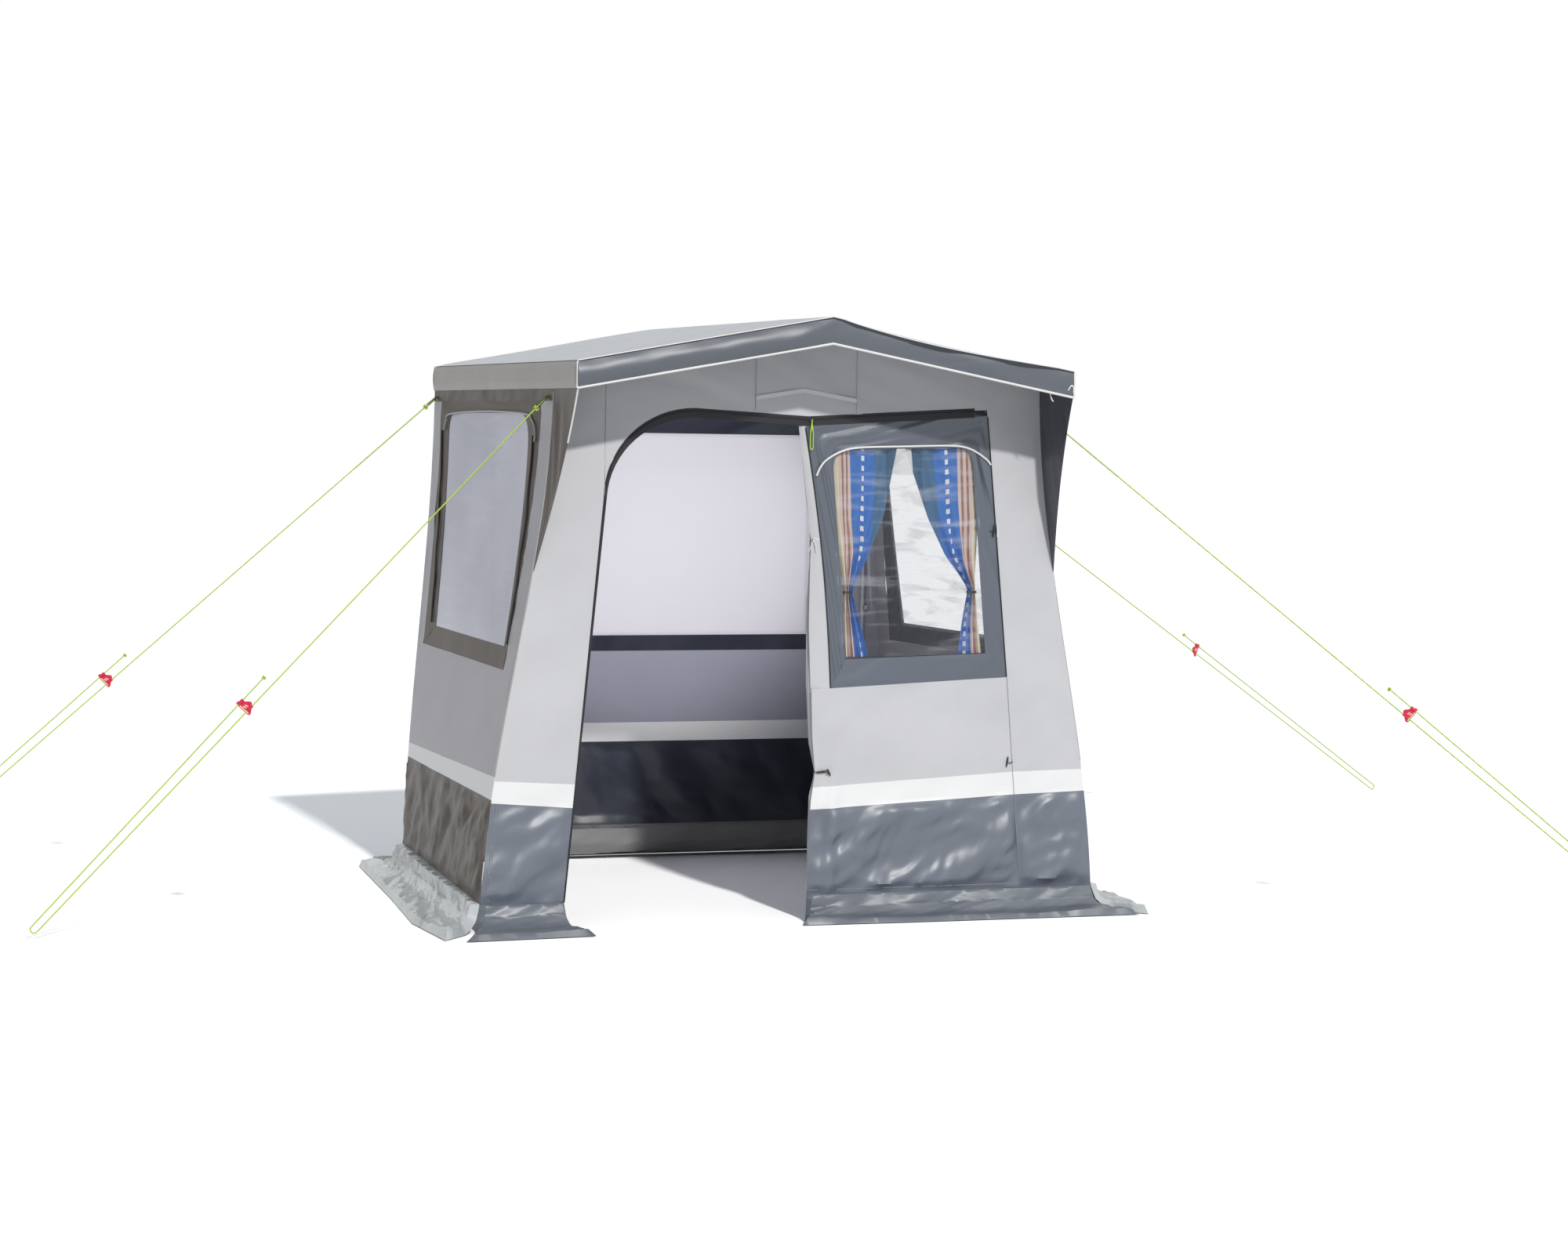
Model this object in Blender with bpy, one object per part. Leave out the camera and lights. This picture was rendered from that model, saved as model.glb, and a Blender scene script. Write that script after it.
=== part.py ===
"""Kitchen tent: a small ridge tent of sewn cloth panels on a telescopic steel frame.

The front wall stands on the plane y = 0 of the tent_origin empty, +X is to the right of the
door and +Z is up. All lengths are in metres.
"""
import math

import bmesh
import bpy
import numpy as np
from mathutils import Matrix, Vector

# Tent shell
EAVE_HALF = 0.865
FRONT_BASE_HALF = 1.10
BACK_BASE_HALF = 0.97
DEPTH = 1.60
OVERHANG = 0.27
EAVE_HEIGHT = 1.865
RIDGE_HEIGHT = 2.025
VALANCE_DROP = 0.09
ROOF_SAG = 0.0175
SAG_SKEW = 0.8
SAG_INSET = 0.035
CLOTH = 0.002
GAP = 0.0003

# Mud skirts, with how far the hem lies from the wall's foot at each station (sideways, backwards)
SKIRT_REACH = 0.19
SEAM_HEIGHT = 0.09
BACK_SEAM_HEIGHT = 0.14
SKIRT_SHOULDER_Y = 0.25
SIDE_SKIRT_SPREAD = ((0.163, -0.144), (SKIRT_REACH, -0.02), (0.17, 0.0), (0.15, 0.0))
LEFT_SKIRT_MIDDLE_X = -0.95
LEFT_SKIRT_SPREAD = ((-0.09, -0.20), (0.0, -0.19), (0.06, -0.18))
RIGHT_SKIRT_INNER_X = 0.35
RIGHT_SKIRT_OUTER_X = 0.75
RIGHT_SKIRT_SPREAD = ((-0.055, -0.12), (-0.01, -0.14), (0.03, -0.15), (0.12, -0.16))
BACK_SKIRT_CORNER = 0.05

# Door and front seams
DOOR_FOOT_X = -0.812
DOOR_SPRING_X = -0.69
DOOR_SPRING_Z = 1.42
DOOR_ARCH_WIDTH = 0.31
DOOR_ARCH_RISE = 0.292
DOOR_RIGHT_X = 0.020
ZIP_DIP = 0.021
ZIP_RUN = 0.60
ZIP_RISE = 0.037
ZIP_TAPE_WIDTH = 0.010
SEAM_TOP_X = 0.671
SEAM_SILL_X = 0.762
FOLD_FOOT_X = 0.040
FOLD_TIE_X = 0.100
FOLD_TIE_Z = 0.50

# Windows
WINDOW_SILL_LEFT_Z = 0.783
WINDOW_SILL_RIGHT_Z = 0.815
WINDOW_SILL_LEFT_X = 0.112
WINDOW_TOP_LEFT_X = 0.008
WINDOW_TOP_DROP = 0.022
FOIL_INSET_SIDE = 0.070
FOIL_INSET_SILL = 0.092
FOIL_INSET_TOP = 0.100
FOIL_CORNER = 0.060
SIDE_WINDOW_FRONT_Y = 0.15
SIDE_WINDOW_BACK_MARGIN = 0.11
SIDE_WINDOW_SILL_Z = 0.845
SIDE_WINDOW_TOP_Z = 1.735
BACK_WINDOW_HALF = 0.645
BACK_WINDOW_SILL_Z = 0.803
BACK_WINDOW_TOP_Z = 1.70
STORM_WING_TIP_Z = 1.18

# Frame poles
POLE_RADIUS = 0.011
POLE_WALL = 0.001
LOWER_LEG_RADIUS = 0.0095
LOWER_LEG_WALL = 0.001
POLE_INSET = 0.022
HUB_RADIUS = 0.014
HUB_REACH = 0.025
HUB_TOP = 0.008
HUB_DROP = 0.013
SPIGOT_LENGTH = 0.045
SPIGOT_PLAY = 0.0003
LEG_SPLIT_Z = 0.95
LEG_OVERLAP = 0.25
CLAMP_HEIGHT = 0.035
CLAMP_WALL = 0.0045
SCREW_REACH = 0.036
SCREW_RADIUS = 0.004
KNOB_RADIUS = 0.009
KNOB_LENGTH = 0.010
FOOT_RADIUS = 0.0135
FOOT_HEIGHT = 0.030
FOOT_SOLE = 0.004

# Curtains, rolled door and small fittings
CURTAIN_FOLDS = 5
CURTAIN_TOP_Z = 1.600
CURTAIN_TIE_Z = 1.108
CURTAIN_FOOT_Z = 0.890
CURTAIN_FOLD_DEPTH = 0.011
CURTAIN_OPEN_WIDTH = 0.09
CURTAIN_TIED_SHARE = 0.25
CURTAIN_TIE_HEIGHT = 0.012
ROLL_TOP_Z = 1.655
ROLL_FOOT_Z = 0.030
ROLL_UPPER_TIE_Z = 1.287
TIE_HEIGHT = 0.012
TIE_THICKNESS = 0.0015
SLIDER_LENGTH = 0.016
SLIDER_HEIGHT = 0.010
SLIDER_DEPTH = 0.005
SLIDER_EAR = 0.0012
PIN_RADIUS = 0.0008
PIN_PLAY = 0.0003
PIN_STAND_OFF = 0.0042
PULLER_LENGTH = 0.100
PULLER_HALF = 0.0065
PULLER_NECK_HALF = 0.0018
PULLER_THICKNESS = 0.0040

# Guy ropes
ROPE_RADIUS = 0.0025
GUY_DROP = 0.022
GUY_FRONT_Y = 0.07
GUY_BACK_Y = 1.56
PEG_LOOP_RADIUS = 0.012
PEG_HEIGHT = 0.022
TENSIONER_HEIGHT = 0.042
TENSIONER_APEX = 0.010
TENSIONER_LOWER = 0.022
TENSIONER_UPPER = 0.056
TENSIONER_THICKNESS = 0.0035
TENSIONER_CORNER = 0.007
BARREL_WALL = 0.0022
BARREL_LENGTH = 0.022
TAIL_OFFSET = 0.035
TAIL_PLAY = 0.0016
TAIL_BARREL_SHIFT = 0.006
TAIL_SPARE = 0.10

# Corner name, side, front or back, peg on the ground, place of the tensioner along the rope
GUYS = (
    ("front_left", -1, True, (-2.493, 0.195), 0.59),
    ("front_right", 1, True, (2.842, -0.786), 0.607),
    ("back_left", -1, False, (-2.802, 1.754), 0.607),
    ("back_right", 1, False, (4.0, 3.1), 0.60),
)

SIDES = (("left", -1), ("right", 1))

# Values that follow from the sizes above
ROOF_SLOPE = (RIDGE_HEIGHT - EAVE_HEIGHT) / EAVE_HALF
ROOF_COS = math.cos(math.atan(ROOF_SLOPE))
VALANCE_FOOT_Z = EAVE_HEIGHT - VALANCE_DROP
SHELL_OUT = GAP + CLOTH
LEG_X = EAVE_HALF - POLE_INSET
FRONT_LEG_Y = POLE_INSET
SIDE_WINDOW_BACK_Y = DEPTH - SIDE_WINDOW_BACK_MARGIN
BACK_LEG_Y = DEPTH - POLE_INSET
POLE_BORE = POLE_RADIUS - POLE_WALL
DOOR_TOP_Z = DOOR_SPRING_Z + DOOR_ARCH_RISE
DOOR_ARCH_X = DOOR_SPRING_X + DOOR_ARCH_WIDTH
ZIP_START = Vector((DOOR_RIGHT_X, 0, DOOR_TOP_Z - ZIP_DIP))
ZIP_AXIS = Vector((ZIP_RUN, 0, ZIP_RISE)).normalized()
SEAM_TOP_Z = ZIP_START.z + (SEAM_TOP_X - DOOR_RIGHT_X) * ZIP_RISE / ZIP_RUN
FRONT_Y = -(DEPTH + SKIRT_REACH - OVERHANG - SHELL_OUT) / 2

UP = Vector((0, 0, 1))


def clear_scene():
    for obj in list(bpy.data.objects):
        bpy.data.objects.remove(obj, do_unlink=True)


def make_material(name, color, roughness, metallic=0.0, alpha=1.0):
    mat = bpy.data.materials.new(name)
    mat.use_nodes = True
    shader = mat.node_tree.nodes["Principled BSDF"]
    shader.inputs["Base Color"].default_value = (*color, 1.0)
    shader.inputs["Roughness"].default_value = roughness
    shader.inputs["Metallic"].default_value = metallic
    shader.inputs["Alpha"].default_value = alpha
    return mat


clear_scene()

ROOF_CLOTH = make_material("roof_cloth", (0.55, 0.56, 0.58), 0.6)
WALL_CLOTH = make_material("wall_cloth", (0.72, 0.72, 0.74), 0.85)
DARK_PVC = make_material("dark_pvc", (0.16, 0.19, 0.23), 0.35)
BROWN_PVC = make_material("brown_pvc", (0.15, 0.13, 0.11), 0.4)
CLEAR_FOIL = make_material("clear_foil", (0.80, 0.80, 0.85), 0.15, alpha=0.5)
STEEL = make_material("zinc_steel", (0.60, 0.60, 0.62), 0.35, 1.0)
BLACK_PLASTIC = make_material("black_plastic", (0.03, 0.03, 0.03), 0.5)
BLACK_WEBBING = make_material("black_webbing", (0.02, 0.02, 0.025), 0.8)
CURTAIN_CLOTH = make_material("curtain_cloth", (0.06, 0.14, 0.40), 0.85)
ROPE_CORD = make_material("rope_cord", (0.50, 0.75, 0.15), 0.7)
RED_METAL = make_material("red_anodised", (0.70, 0.04, 0.08), 0.3, 0.6)

origin = bpy.data.objects.new("tent_origin", None)
origin.location = (0, FRONT_Y, 0)
bpy.context.collection.objects.link(origin)


def add_object(name, bm, mat, pivot=(0, 0, 0)):
    """Turn a bmesh in tent coordinates into an object whose origin is the pivot."""
    bmesh.ops.translate(bm, verts=bm.verts, vec=-Vector(pivot))
    bmesh.ops.recalc_face_normals(bm, faces=bm.faces)
    mesh = bpy.data.meshes.new(name)
    bm.to_mesh(mesh)
    bm.free()
    mesh.materials.append(mat)
    obj = bpy.data.objects.new(name, mesh)
    obj.location = pivot
    obj.parent = origin
    bpy.context.collection.objects.link(obj)
    return obj


def shade_round(obj):
    obj.data.shade_smooth()
    obj.data.set_sharp_from_angle(angle=math.radians(40))


def combine(obj, helper, operation):
    """Join the helper to the object, or cut it out, with an exact Boolean."""
    helper.hide_render = True
    helper.display_type = "WIRE"
    modifier = obj.modifiers.new(operation.lower(), "BOOLEAN")
    modifier.operation = operation
    modifier.solver = "EXACT"
    modifier.object = helper


def append(bm, part, matrix=Matrix.Identity(4)):
    """Copy one bmesh into another, moved by the matrix."""
    bmesh.ops.transform(part, matrix=matrix, verts=part.verts)
    mesh = bpy.data.meshes.new("piece")
    part.to_mesh(mesh)
    part.free()
    bm.from_mesh(mesh)
    bpy.data.meshes.remove(mesh)


def aim(start, direction):
    """Matrix that puts local +Z along the direction, from the start point."""
    turn = Vector(direction).to_track_quat("Z", "Y").to_matrix().to_4x4()
    return Matrix.Translation(Vector(start)) @ turn


def turned(bm, profile, matrix, steps=16):
    """Spin a profile of (radius, height) points round local Z."""
    part = bmesh.new()
    points = [part.verts.new((radius, 0, height)) for radius, height in profile]
    edges = [part.edges.new(pair) for pair in zip(points, points[1:])]
    if profile[0][0] > 0:
        edges.append(part.edges.new((points[-1], points[0])))
    bmesh.ops.spin(part, geom=points + edges, cent=(0, 0, 0), axis=(0, 0, 1),
                   angle=2 * math.pi, steps=steps, use_merge=True)
    bmesh.ops.remove_doubles(part, verts=part.verts, dist=1e-6)
    append(bm, part, matrix)


def tube(bm, start, end, radius, bore, steps=16):
    """Open-ended tube from start to end."""
    length = (Vector(end) - Vector(start)).length
    profile = [(bore, 0), (radius, 0), (radius, length), (bore, length)]
    turned(bm, profile, aim(start, Vector(end) - Vector(start)), steps)


def rod(bm, start, end, radius, steps=16):
    length = (Vector(end) - Vector(start)).length
    profile = [(0, 0), (radius, 0), (radius, length), (0, length)]
    turned(bm, profile, aim(start, Vector(end) - Vector(start)), steps)


def box(bm, low, high):
    low = Vector(low)
    high = Vector(high)
    size = Matrix.Diagonal((*(high - low), 1))
    bmesh.ops.create_cube(bm, size=1, matrix=Matrix.Translation((low + high) / 2) @ size)


def sheet(bm, front, back):
    """Closed slab between two equal grids of points."""
    rows = len(front)
    columns = len(front[0])
    faces = [[[bm.verts.new(point) for point in row] for row in grid] for grid in (front, back)]
    for i in range(rows - 1):
        for j in range(columns - 1):
            for grid in faces:
                corners = (grid[i][j], grid[i + 1][j], grid[i + 1][j + 1], grid[i][j + 1])
                bm.faces.new(corners)
    rim = [(0, j) for j in range(columns)]
    rim += [(i, columns - 1) for i in range(1, rows)]
    rim += [(rows - 1, j) for j in range(columns - 2, -1, -1)]
    rim += [(i, 0) for i in range(rows - 2, 0, -1)]
    for (i, j), (k, m) in zip(rim, rim[1:] + rim[:1]):
        bm.faces.new((faces[0][i][j], faces[0][k][m], faces[1][k][m], faces[1][i][j]))


def panel(bm, outline, place, holes=(), cuts=()):
    """Closed slab over a flat outline with holes; place gives its two faces' points."""
    flat = bmesh.new()
    edges = []
    for loop in (outline, *holes):
        points = [flat.verts.new((a, b, 0)) for a, b in loop]
        edges += [flat.edges.new(pair) for pair in zip(points, points[1:] + points[:1])]
    bmesh.ops.triangle_fill(flat, use_beauty=True, use_dissolve=False, edges=edges)
    for level in cuts:
        geometry = flat.verts[:] + flat.edges[:] + flat.faces[:]
        bmesh.ops.bisect_plane(flat, geom=geometry, dist=1e-6, plane_co=(0, level, 0),
                               plane_no=(0, 1, 0))
    bmesh.ops.triangulate(flat, faces=flat.faces)
    pairs = {}
    for vert in flat.verts:
        outer, inner = place(vert.co.x, vert.co.y)
        pairs[vert] = (bm.verts.new(outer), bm.verts.new(inner))
    for face in flat.faces:
        bm.faces.new([pairs[vert][0] for vert in face.verts])
        bm.faces.new([pairs[vert][1] for vert in reversed(face.verts)])
    for edge in flat.edges:
        if edge.is_boundary:
            a, b = edge.verts
            bm.faces.new((pairs[a][0], pairs[b][0], pairs[b][1], pairs[a][1]))
    flat.free()


def loft(bm, rings):
    """Closed body through equal rings of points, with flat ends."""
    loops = [[bm.verts.new(point) for point in ring] for ring in rings]
    for lower, upper in zip(loops, loops[1:]):
        for j in range(len(lower)):
            k = (j + 1) % len(lower)
            bm.faces.new((lower[j], lower[k], upper[k], upper[j]))
    bm.faces.new(loops[0])
    bm.faces.new(reversed(loops[-1]))


def offset_path(path, distance):
    """Path moved sideways by the distance, to the left of its direction."""
    points = [Vector(point) for point in path]
    moved = []
    for i, point in enumerate(points):
        before = (point - points[i - 1]).normalized() if i else None
        after = (points[i + 1] - point).normalized() if i + 1 < len(points) else None
        along = [side for side in (before, after) if side]
        mean = sum(along, Vector((0, 0))).normalized()
        normal = Vector((-mean.y, mean.x))
        stretch = 1 / max(0.5, mean.dot(along[0]))
        moved.append(tuple(point + normal * distance * stretch))
    return moved


def arc(center, radii, start, end, steps):
    """Points of an elliptical arc, angles in degrees."""
    angles = [math.radians(start + (end - start) * i / steps) for i in range(steps + 1)]
    return [(center[0] + radii[0] * math.cos(t), center[1] + radii[1] * math.sin(t))
            for t in angles]


def flare(z):
    """Share of the wall's spread at a height: 0 at the eaves and 1 on the ground."""
    u = max(0.0, 1 - z / VALANCE_FOOT_Z)
    return 0.85 * (3 * u * u - 2 * u ** 3) + 0.15 * u


def half_width(y, z):
    base = FRONT_BASE_HALF + (BACK_BASE_HALF - FRONT_BASE_HALF) * min(1.0, max(0.0, y / DEPTH))
    return EAVE_HALF + (base - EAVE_HALF) * flare(z)


def side_cuts():
    """Heights at which the side walls bend outwards."""
    return spread(SEAM_HEIGHT, VALANCE_FOOT_Z, 10)


def sag(x, y):
    """Slack of the roof cloth at the front edge, right of the ridge and deepest near it."""
    share = (x - SAG_INSET) / (LEG_X - 2 * SAG_INSET)
    if y >= 0 or not 0 < share < 1:
        return 0.0
    return ROOF_SAG * math.sin(math.pi * share ** SAG_SKEW) * min(1.0, -y / OVERHANG)


def roof_stations():
    """Distances from the ridge that follow the sag, from the ridge to the eave."""
    return [GAP / 2] + spread(SAG_INSET, LEG_X - SAG_INSET, 9) + [EAVE_HALF + SHELL_OUT]


def roof_line(x):
    """Height of the roof where it is pulled straight, and of the valance's hem above its drop."""
    return RIDGE_HEIGHT - ROOF_SLOPE * abs(x)


def roof_top(x, y=0.0):
    return roof_line(x) - sag(x, y)


def roof_under(x, y=0.0):
    return roof_top(x, y) - CLOTH / ROOF_COS


def pole_z(x):
    """Height of the axis of a roof pole that touches the cloth at x."""
    return roof_under(x) - (POLE_RADIUS + GAP) / ROOF_COS


def spread(start, end, count):
    return [start + (end - start) * i / (count - 1) for i in range(count)]


def corner_line(side, y, low, high, count):
    """Outer edge of a front or back wall, from low to high."""
    return [(side * half_width(y, z), z) for z in spread(low, high, count)]


def on_front(x, z):
    return (x, 0, z), (x, CLOTH, z)


def on_back(x, z):
    return (x, DEPTH, z), (x, DEPTH - CLOTH, z)


def on_side(side):
    def place(y, z):
        x = half_width(y, z)
        return (side * x, y, z), (side * (x - CLOTH), y, z)
    return place


def door_edge():
    """Edge of the doorway from its foot on the left, over the arch, to the zip's right end."""
    path = [(DOOR_FOOT_X, SEAM_HEIGHT)]
    path += reversed(arc((DOOR_ARCH_X, DOOR_SPRING_Z), (DOOR_ARCH_WIDTH, DOOR_ARCH_RISE),
                         90, 180, 7))
    path.append((ZIP_START.x, ZIP_START.z))
    path.append((ZIP_START.x + ZIP_RUN, ZIP_START.z + ZIP_RISE))
    return path


def roof_edge(x):
    return (x, roof_under(x) - GAP)


def pole_notch(x):
    """Notch in the gable edge of the front wall, where a roof pole passes through."""
    half = POLE_RADIUS + 0.0015
    floor = pole_z(x) - half
    return [roof_edge(x - half), (x - half, floor), (x + half, floor), roof_edge(x + half)]


def build_roof():
    for name, side in SIDES:
        xs = roof_stations() if side > 0 else spread(GAP / 2, EAVE_HALF + SHELL_OUT, 2)
        ys = [-OVERHANG - SHELL_OUT, -OVERHANG / 2, 0, DEPTH / 2, DEPTH + SHELL_OUT]
        top = [[(side * x, y, roof_top(side * x, y)) for x in xs] for y in ys]
        under = [[(side * x, y, roof_under(side * x, y)) for x in xs] for y in ys]
        bm = bmesh.new()
        sheet(bm, top, under)
        add_object(f"roof_{name}", bm, ROOF_CLOTH)


def build_valance():
    """Strip of cloth that hangs from the roof's edge all round."""
    reach = EAVE_HALF + SHELL_OUT
    xs = [-reach, 0] + roof_stations()[1:]
    ends = bmesh.new()
    for y, outward in ((-OVERHANG - GAP, -1), (DEPTH + GAP, 1)):
        top = [(x, roof_under(x, y) - GAP) for x in xs]
        foot = [(x, roof_line(x) - VALANCE_DROP) for x in (reach, 0, -reach)]
        panel(ends, top + foot, lambda x, z: ((x, y + outward * CLOTH, z), (x, y, z)))
    valance = add_object("roof_valance", ends, DARK_PVC)
    sides = bmesh.new()
    middle = GAP + CLOTH / 2
    for side in (-1, 1):
        xs = sorted((side * (EAVE_HALF + GAP), side * reach))
        box(sides, (xs[0], -OVERHANG - middle, VALANCE_FOOT_Z),
            (xs[1], DEPTH + middle, roof_under(reach) - GAP))
    combine(valance, add_object("valance_sides", sides, DARK_PVC), "UNION")


def build_storm_wings():
    """Cloth triangles that join the front corners to the overhanging roof."""
    top = roof_under(EAVE_HALF) - GAP
    tip = STORM_WING_TIP_Z
    outline = [(-0.004, tip), (-GAP, tip), (-GAP, top), (-OVERHANG, top), (-OVERHANG, VALANCE_FOOT_Z)]
    for name, side in SIDES:
        bm = bmesh.new()
        panel(bm, outline, on_side(side), cuts=spread(tip, VALANCE_FOOT_Z, 6)[1:])
        add_object(f"storm_wing_{name}", bm, BROWN_PVC)


def quad_window(corners, inset_side, inset_sill, inset_top, radius):
    """Foil outline inside a window panel: straight sill and sides, rounded upper corners."""
    left_foot, right_foot, right_top, left_top = [Vector(corner) for corner in corners]

    def inside(point, other, vertical, dx, dz):
        share = dz / (vertical - point).length
        edge = point.lerp(vertical, share)
        return edge + (other - point).normalized() * dx

    a = inside(left_foot, right_foot, left_top, inset_side, inset_sill)
    b = inside(right_foot, left_foot, right_top, inset_side, inset_sill)
    c = inside(right_top, left_top, right_foot, inset_side, inset_top)
    d = inside(left_top, right_top, left_foot, inset_side, inset_top)
    outline = [a, b]
    for corner, before, after in ((c, b, d), (d, c, a)):
        start = corner + (before - corner).normalized() * radius
        end = corner + (after - corner).normalized() * radius
        for i in range(5):
            t = i / 4
            outline.append(start * (1 - t) ** 2 + corner * 2 * t * (1 - t) + end * t ** 2)
    return [tuple(point) for point in outline]


def shrink(outline, distance):
    """Outline moved inwards by a small distance; the outline runs anticlockwise."""
    count = len(outline)
    points = [Vector(point) for point in outline]
    moved = []
    for i, point in enumerate(points):
        before = (point - points[i - 1]).normalized()
        after = (points[(i + 1) % count] - point).normalized()
        mean = (before + after).normalized()
        normal = Vector((-mean.y, mean.x))
        moved.append(tuple(point + normal * distance / max(0.3, mean.dot(before))))
    return moved


def build_side_walls():
    front = CLOTH + GAP
    back = DEPTH - CLOTH - GAP
    top = roof_under(EAVE_HALF) - GAP
    cuts = side_cuts()[1:]
    outline = [(front, SEAM_HEIGHT), (back, SEAM_HEIGHT), (back, top), (front, top)]
    hole = [(SIDE_WINDOW_FRONT_Y, SIDE_WINDOW_SILL_Z), (SIDE_WINDOW_BACK_Y, SIDE_WINDOW_SILL_Z),
            (SIDE_WINDOW_BACK_Y, SIDE_WINDOW_TOP_Z), (SIDE_WINDOW_FRONT_Y, SIDE_WINDOW_TOP_Z)]
    for name, side in SIDES:
        bm = bmesh.new()
        panel(bm, outline, on_side(side), holes=(hole,), cuts=cuts)
        add_object(f"{name}_wall", bm, WALL_CLOTH)
        bm = bmesh.new()
        panel(bm, shrink(hole, GAP), on_side(side), cuts=cuts)
        add_object(f"{name}_window", bm, CLEAR_FOIL)


def build_back_wall():
    low = BACK_SEAM_HEIGHT
    right = corner_line(1, DEPTH, low, VALANCE_FOOT_Z, 9)
    left = list(reversed(corner_line(-1, DEPTH, low, VALANCE_FOOT_Z, 9)))
    outline = right + [roof_edge(EAVE_HALF), roof_edge(0), roof_edge(-EAVE_HALF)] + left
    hole = [(-BACK_WINDOW_HALF, BACK_WINDOW_SILL_Z), (BACK_WINDOW_HALF, BACK_WINDOW_SILL_Z),
            (BACK_WINDOW_HALF, BACK_WINDOW_TOP_Z), (-BACK_WINDOW_HALF, BACK_WINDOW_TOP_Z)]
    bm = bmesh.new()
    panel(bm, outline, on_back, holes=(hole,))
    add_object("back_wall", bm, WALL_CLOTH)
    bm = bmesh.new()
    panel(bm, shrink(hole, GAP), on_back)
    add_object("back_window", bm, CLEAR_FOIL)


def build_front_wall():
    """The front wall's three sewn panels round the doorway and the window."""
    edge = door_edge()
    notch = pole_notch(-LEG_X)
    corner = corner_line(-1, 0, SEAM_HEIGHT, VALANCE_FOOT_Z, 11)
    outline = [edge[0], (DOOR_SPRING_X, DOOR_SPRING_Z), roof_edge(DOOR_SPRING_X)]
    outline += list(reversed(notch)) + [roof_edge(-EAVE_HALF)] + list(reversed(corner))
    bm = bmesh.new()
    panel(bm, outline, on_front)
    add_object("front_wall_left", bm, WALL_CLOTH)

    arch = edge[1:-2]
    outline = [(DOOR_SPRING_X + GAP, DOOR_SPRING_Z)] + arch[1:]
    outline += [(ZIP_START.x, ZIP_START.z), (SEAM_TOP_X - GAP, SEAM_TOP_Z), roof_edge(SEAM_TOP_X - GAP)]
    outline += list(reversed(pole_notch(0))) + [roof_edge(DOOR_SPRING_X + GAP)]
    bm = bmesh.new()
    panel(bm, outline, on_front)
    add_object("front_wall_header", bm, WALL_CLOTH)

    fold = [(WINDOW_SILL_LEFT_X, WINDOW_SILL_LEFT_Z), (FOLD_TIE_X, FOLD_TIE_Z + 0.03),
            (FOLD_TIE_X - 0.04, FOLD_TIE_Z - 0.06), (FOLD_FOOT_X, SEAM_HEIGHT)]
    outline = corner_line(1, 0, SEAM_HEIGHT, VALANCE_FOOT_Z, 11) + [roof_edge(EAVE_HALF)]
    outline += list(reversed(pole_notch(LEG_X))) + [roof_edge(SEAM_TOP_X), (SEAM_TOP_X, SEAM_TOP_Z)]
    outline += [(SEAM_SILL_X, WINDOW_SILL_RIGHT_Z)] + fold
    bm = bmesh.new()
    panel(bm, outline, on_front)
    add_object("front_wall_right", bm, WALL_CLOTH)


def front_window_outline():
    rise = (SEAM_TOP_X - DOOR_RIGHT_X) * ZIP_RISE / ZIP_RUN
    top_left_z = ZIP_START.z - WINDOW_TOP_DROP
    return [(WINDOW_SILL_LEFT_X, WINDOW_SILL_LEFT_Z + GAP),
            (SEAM_SILL_X - GAP, WINDOW_SILL_RIGHT_Z + GAP),
            (SEAM_TOP_X - 2 * GAP, top_left_z + rise), (WINDOW_TOP_LEFT_X, top_left_z)]


def build_front_window():
    outline = front_window_outline()
    foil = quad_window(outline, FOIL_INSET_SIDE, FOIL_INSET_SILL, FOIL_INSET_TOP, FOIL_CORNER)
    bm = bmesh.new()
    panel(bm, outline, on_front, holes=(foil,))
    add_object("front_window_frame", bm, DARK_PVC)
    bm = bmesh.new()
    panel(bm, shrink(foil, GAP), on_front)
    add_object("front_window_foil", bm, CLEAR_FOIL)


def skirt_path(seam, reach):
    """Underside of a mud skirt as (outward, height), from the seam to the hem."""
    return [(-CLOTH, seam - GAP), (0.10 * reach, 0.50 * seam), (0.28 * reach, 0.16 * seam),
            (0.55 * reach, 0), (reach, 0)]


def skirt(bm, feet, seam):
    """Strip of skirt through stations of (base point, outward vector)."""
    under = []
    upper = []
    for base, outward in feet:
        base = Vector((*base, 0))
        outward = Vector((*outward, 0))
        reach = outward.length
        path = skirt_path(seam, reach)
        over = offset_path(path, CLOTH)
        over[0] = (0, seam - GAP)
        over[-1] = (reach, CLOTH)
        direction = outward / reach
        under.append([base + direction * out + UP * height for out, height in path])
        upper.append([base + direction * out + UP * height for out, height in over])
    sheet(bm, upper, under)


def add_skirt(name, feet, seam):
    bm = bmesh.new()
    skirt(bm, feet, seam)
    add_object(name, bm, DARK_PVC)


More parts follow.
